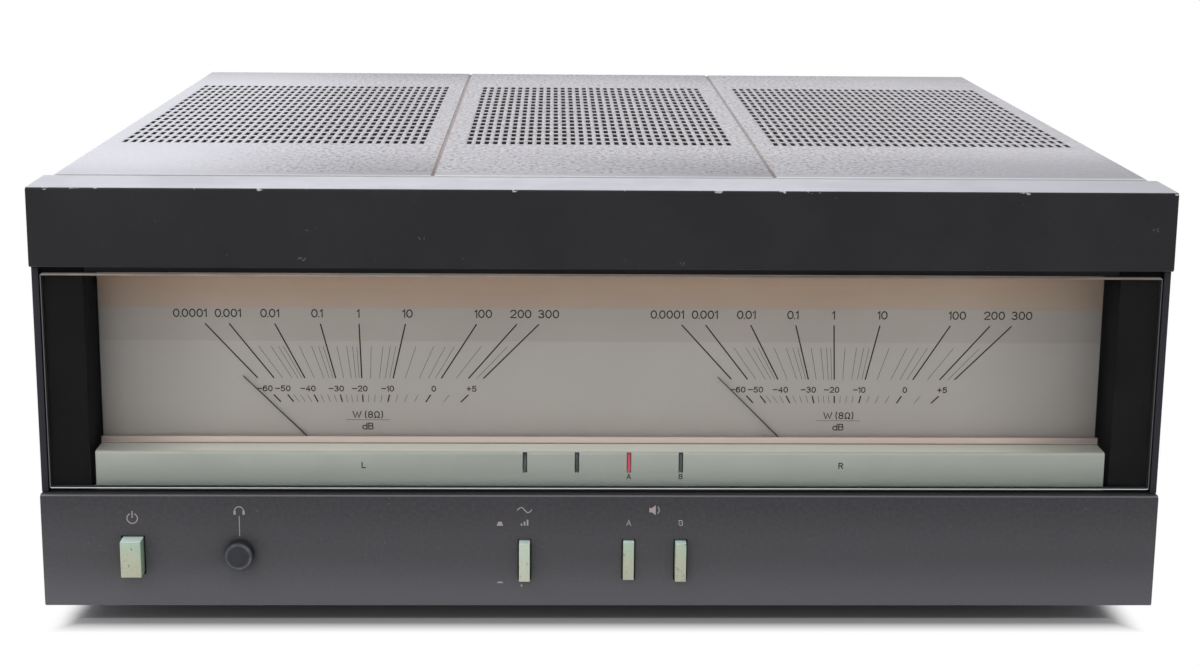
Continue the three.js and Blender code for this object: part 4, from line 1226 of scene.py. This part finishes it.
def make_camera():
    lens_data = bpy.data.cameras.new("camera")
    lens_data.sensor_width = SENSOR
    lens_data.lens = FOCAL_PIXELS * SENSOR / IMAGE_WIDTH
    lens_data.shift_y = (LEVEL_PIXEL - IMAGE_HEIGHT / 2) / IMAGE_WIDTH
    lens_data.clip_end = CLIP_END * MM
    camera = placed("camera", lens_data)
    right, ahead, up = Euler([math.radians(angle) for angle in CAMERA_TURN]).to_matrix()
    turn = Matrix((right, up, -ahead)).transposed().to_4x4()
    camera.matrix_world = Matrix.Translation(Vector(CAMERA_PLACE) * MM) @ turn
    bpy.context.scene.camera = camera


def make_lamp(name, place, side, power):
    """A square lamp that faces the middle of the object."""
    data = bpy.data.lights.new(name, "AREA")
    data.shape = "SQUARE"
    data.size = side * MM
    data.energy = power
    lamp = placed(name, data)
    lamp.location = Vector(place) * MM
    lamp.rotation_euler = (-lamp.location).to_track_quat("-Z", "Y").to_euler()


def seen_ray(made):
    """1 for rays from the camera, a mirror or glass, and 0 for rays that light things."""
    path = made.node("LightPath")
    seen = made.math("MAXIMUM", path.outputs["Is Camera Ray"], path.outputs["Is Glossy Ray"])
    return made.math("MAXIMUM", seen, path.outputs["Is Transmission Ray"])


def make_floor():
    """A plain white floor: it keeps the object's shadow, with a painted shadow under the object and painted
    steps at its edge, and is plain white further out.
    """
    shape = bmesh.new()
    bmesh.ops.create_grid(shape, x_segments=1, y_segments=1, size=FLOOR_SIDE / 2 * MM)
    made = Finish("floor", 0.9, 0.0, 0.0)
    side = cad_bounds[1].x / MM
    back = millimetres("rear_panel")[1].y
    over = made.math("SUBTRACT", made.away("X", FLOOR_MIDDLE), side * MM)
    ahead = made.math("SUBTRACT", FRONT * MM, made.axis("Y"))
    behind = made.math("SUBTRACT", made.axis("Y"), back * MM)
    outside = made.math("MAXIMUM", over, made.math("MAXIMUM", ahead, behind))
    made.coat = made.blend(made.clouds(3), (243, 243, 244), (246, 246, 247))
    # Painted shadow: the floor is darker under the object
    made.over(made.step(outside, *FLOOR_FRONT, 1.0, 0.0), (180, 180, 182))
    # Painted shadow steps along the shadow's edge
    past = made.math("ADD", made.times(behind, FLOOR_BACK_SHARE), FLOOR_FRONT[0] * MM)
    clear = made.stops(made.math("MAXIMUM", ahead, past),
                       [(place, (share, share, share, 1.0)) for place, share in FLOOR_STEPS])
    far = made.math("MAXIMUM", clear, made.step(over, *FLOOR_ENDS))
    made.swap(made.times(far, seen_ray(made)), made.node("Emission", {"Color": WHITE, "Strength": 1.0}))
    floor = placed("floor", as_mesh("floor", shape))
    floor.data.materials.append(made.done())


def make_world():
    """Even soft light from all round, plain white where the camera sees it."""
    world = bpy.data.worlds.new("studio")
    bpy.context.scene.world = world
    world.use_nodes = True
    tree = world.node_tree
    lit = tree.nodes["Background"]
    lit.inputs["Strength"].default_value = SKY_STRENGTH
    lit.inputs["Color"].default_value = SKY_COLOUR
    white = tree.nodes.new("ShaderNodeBackground")
    white.inputs["Color"].default_value = WHITE
    mixed = tree.nodes.new("ShaderNodeMixShader")
    seen = tree.nodes.new("ShaderNodeLightPath").outputs["Is Camera Ray"]
    for source, socket in zip((seen, lit.outputs[0], white.outputs[0]), mixed.inputs):
        tree.links.new(source, socket)
    tree.links.new(mixed.outputs[0], tree.nodes["World Output"].inputs[0])


def main():
    for start, radius in EDGES.items():
        for node in sorted(each for each in frame["nodes"] if each.startswith(start)):
            rounded_copy(node, radius)
    for node, shown in frame["nodes"].items():
        if not shown.hide_render:
            paint(node)
    make_glass()
    make_cover()
    make_dust_cap()
    for number in range(1, 9):
        make_terminal_cap(f"terminal_cap_{number}")
    for side in ("left", "right"):
        make_dial(side)
    make_ledge_marks()
    make_panel_marks()
    make_rear_marks()
    make_screws()
    make_floor()
    make_world()
    for name, values in LAMPS.items():
        make_lamp(name, *values)
    make_camera()
    bpy.context.scene.view_settings.view_transform = "Standard"


main()
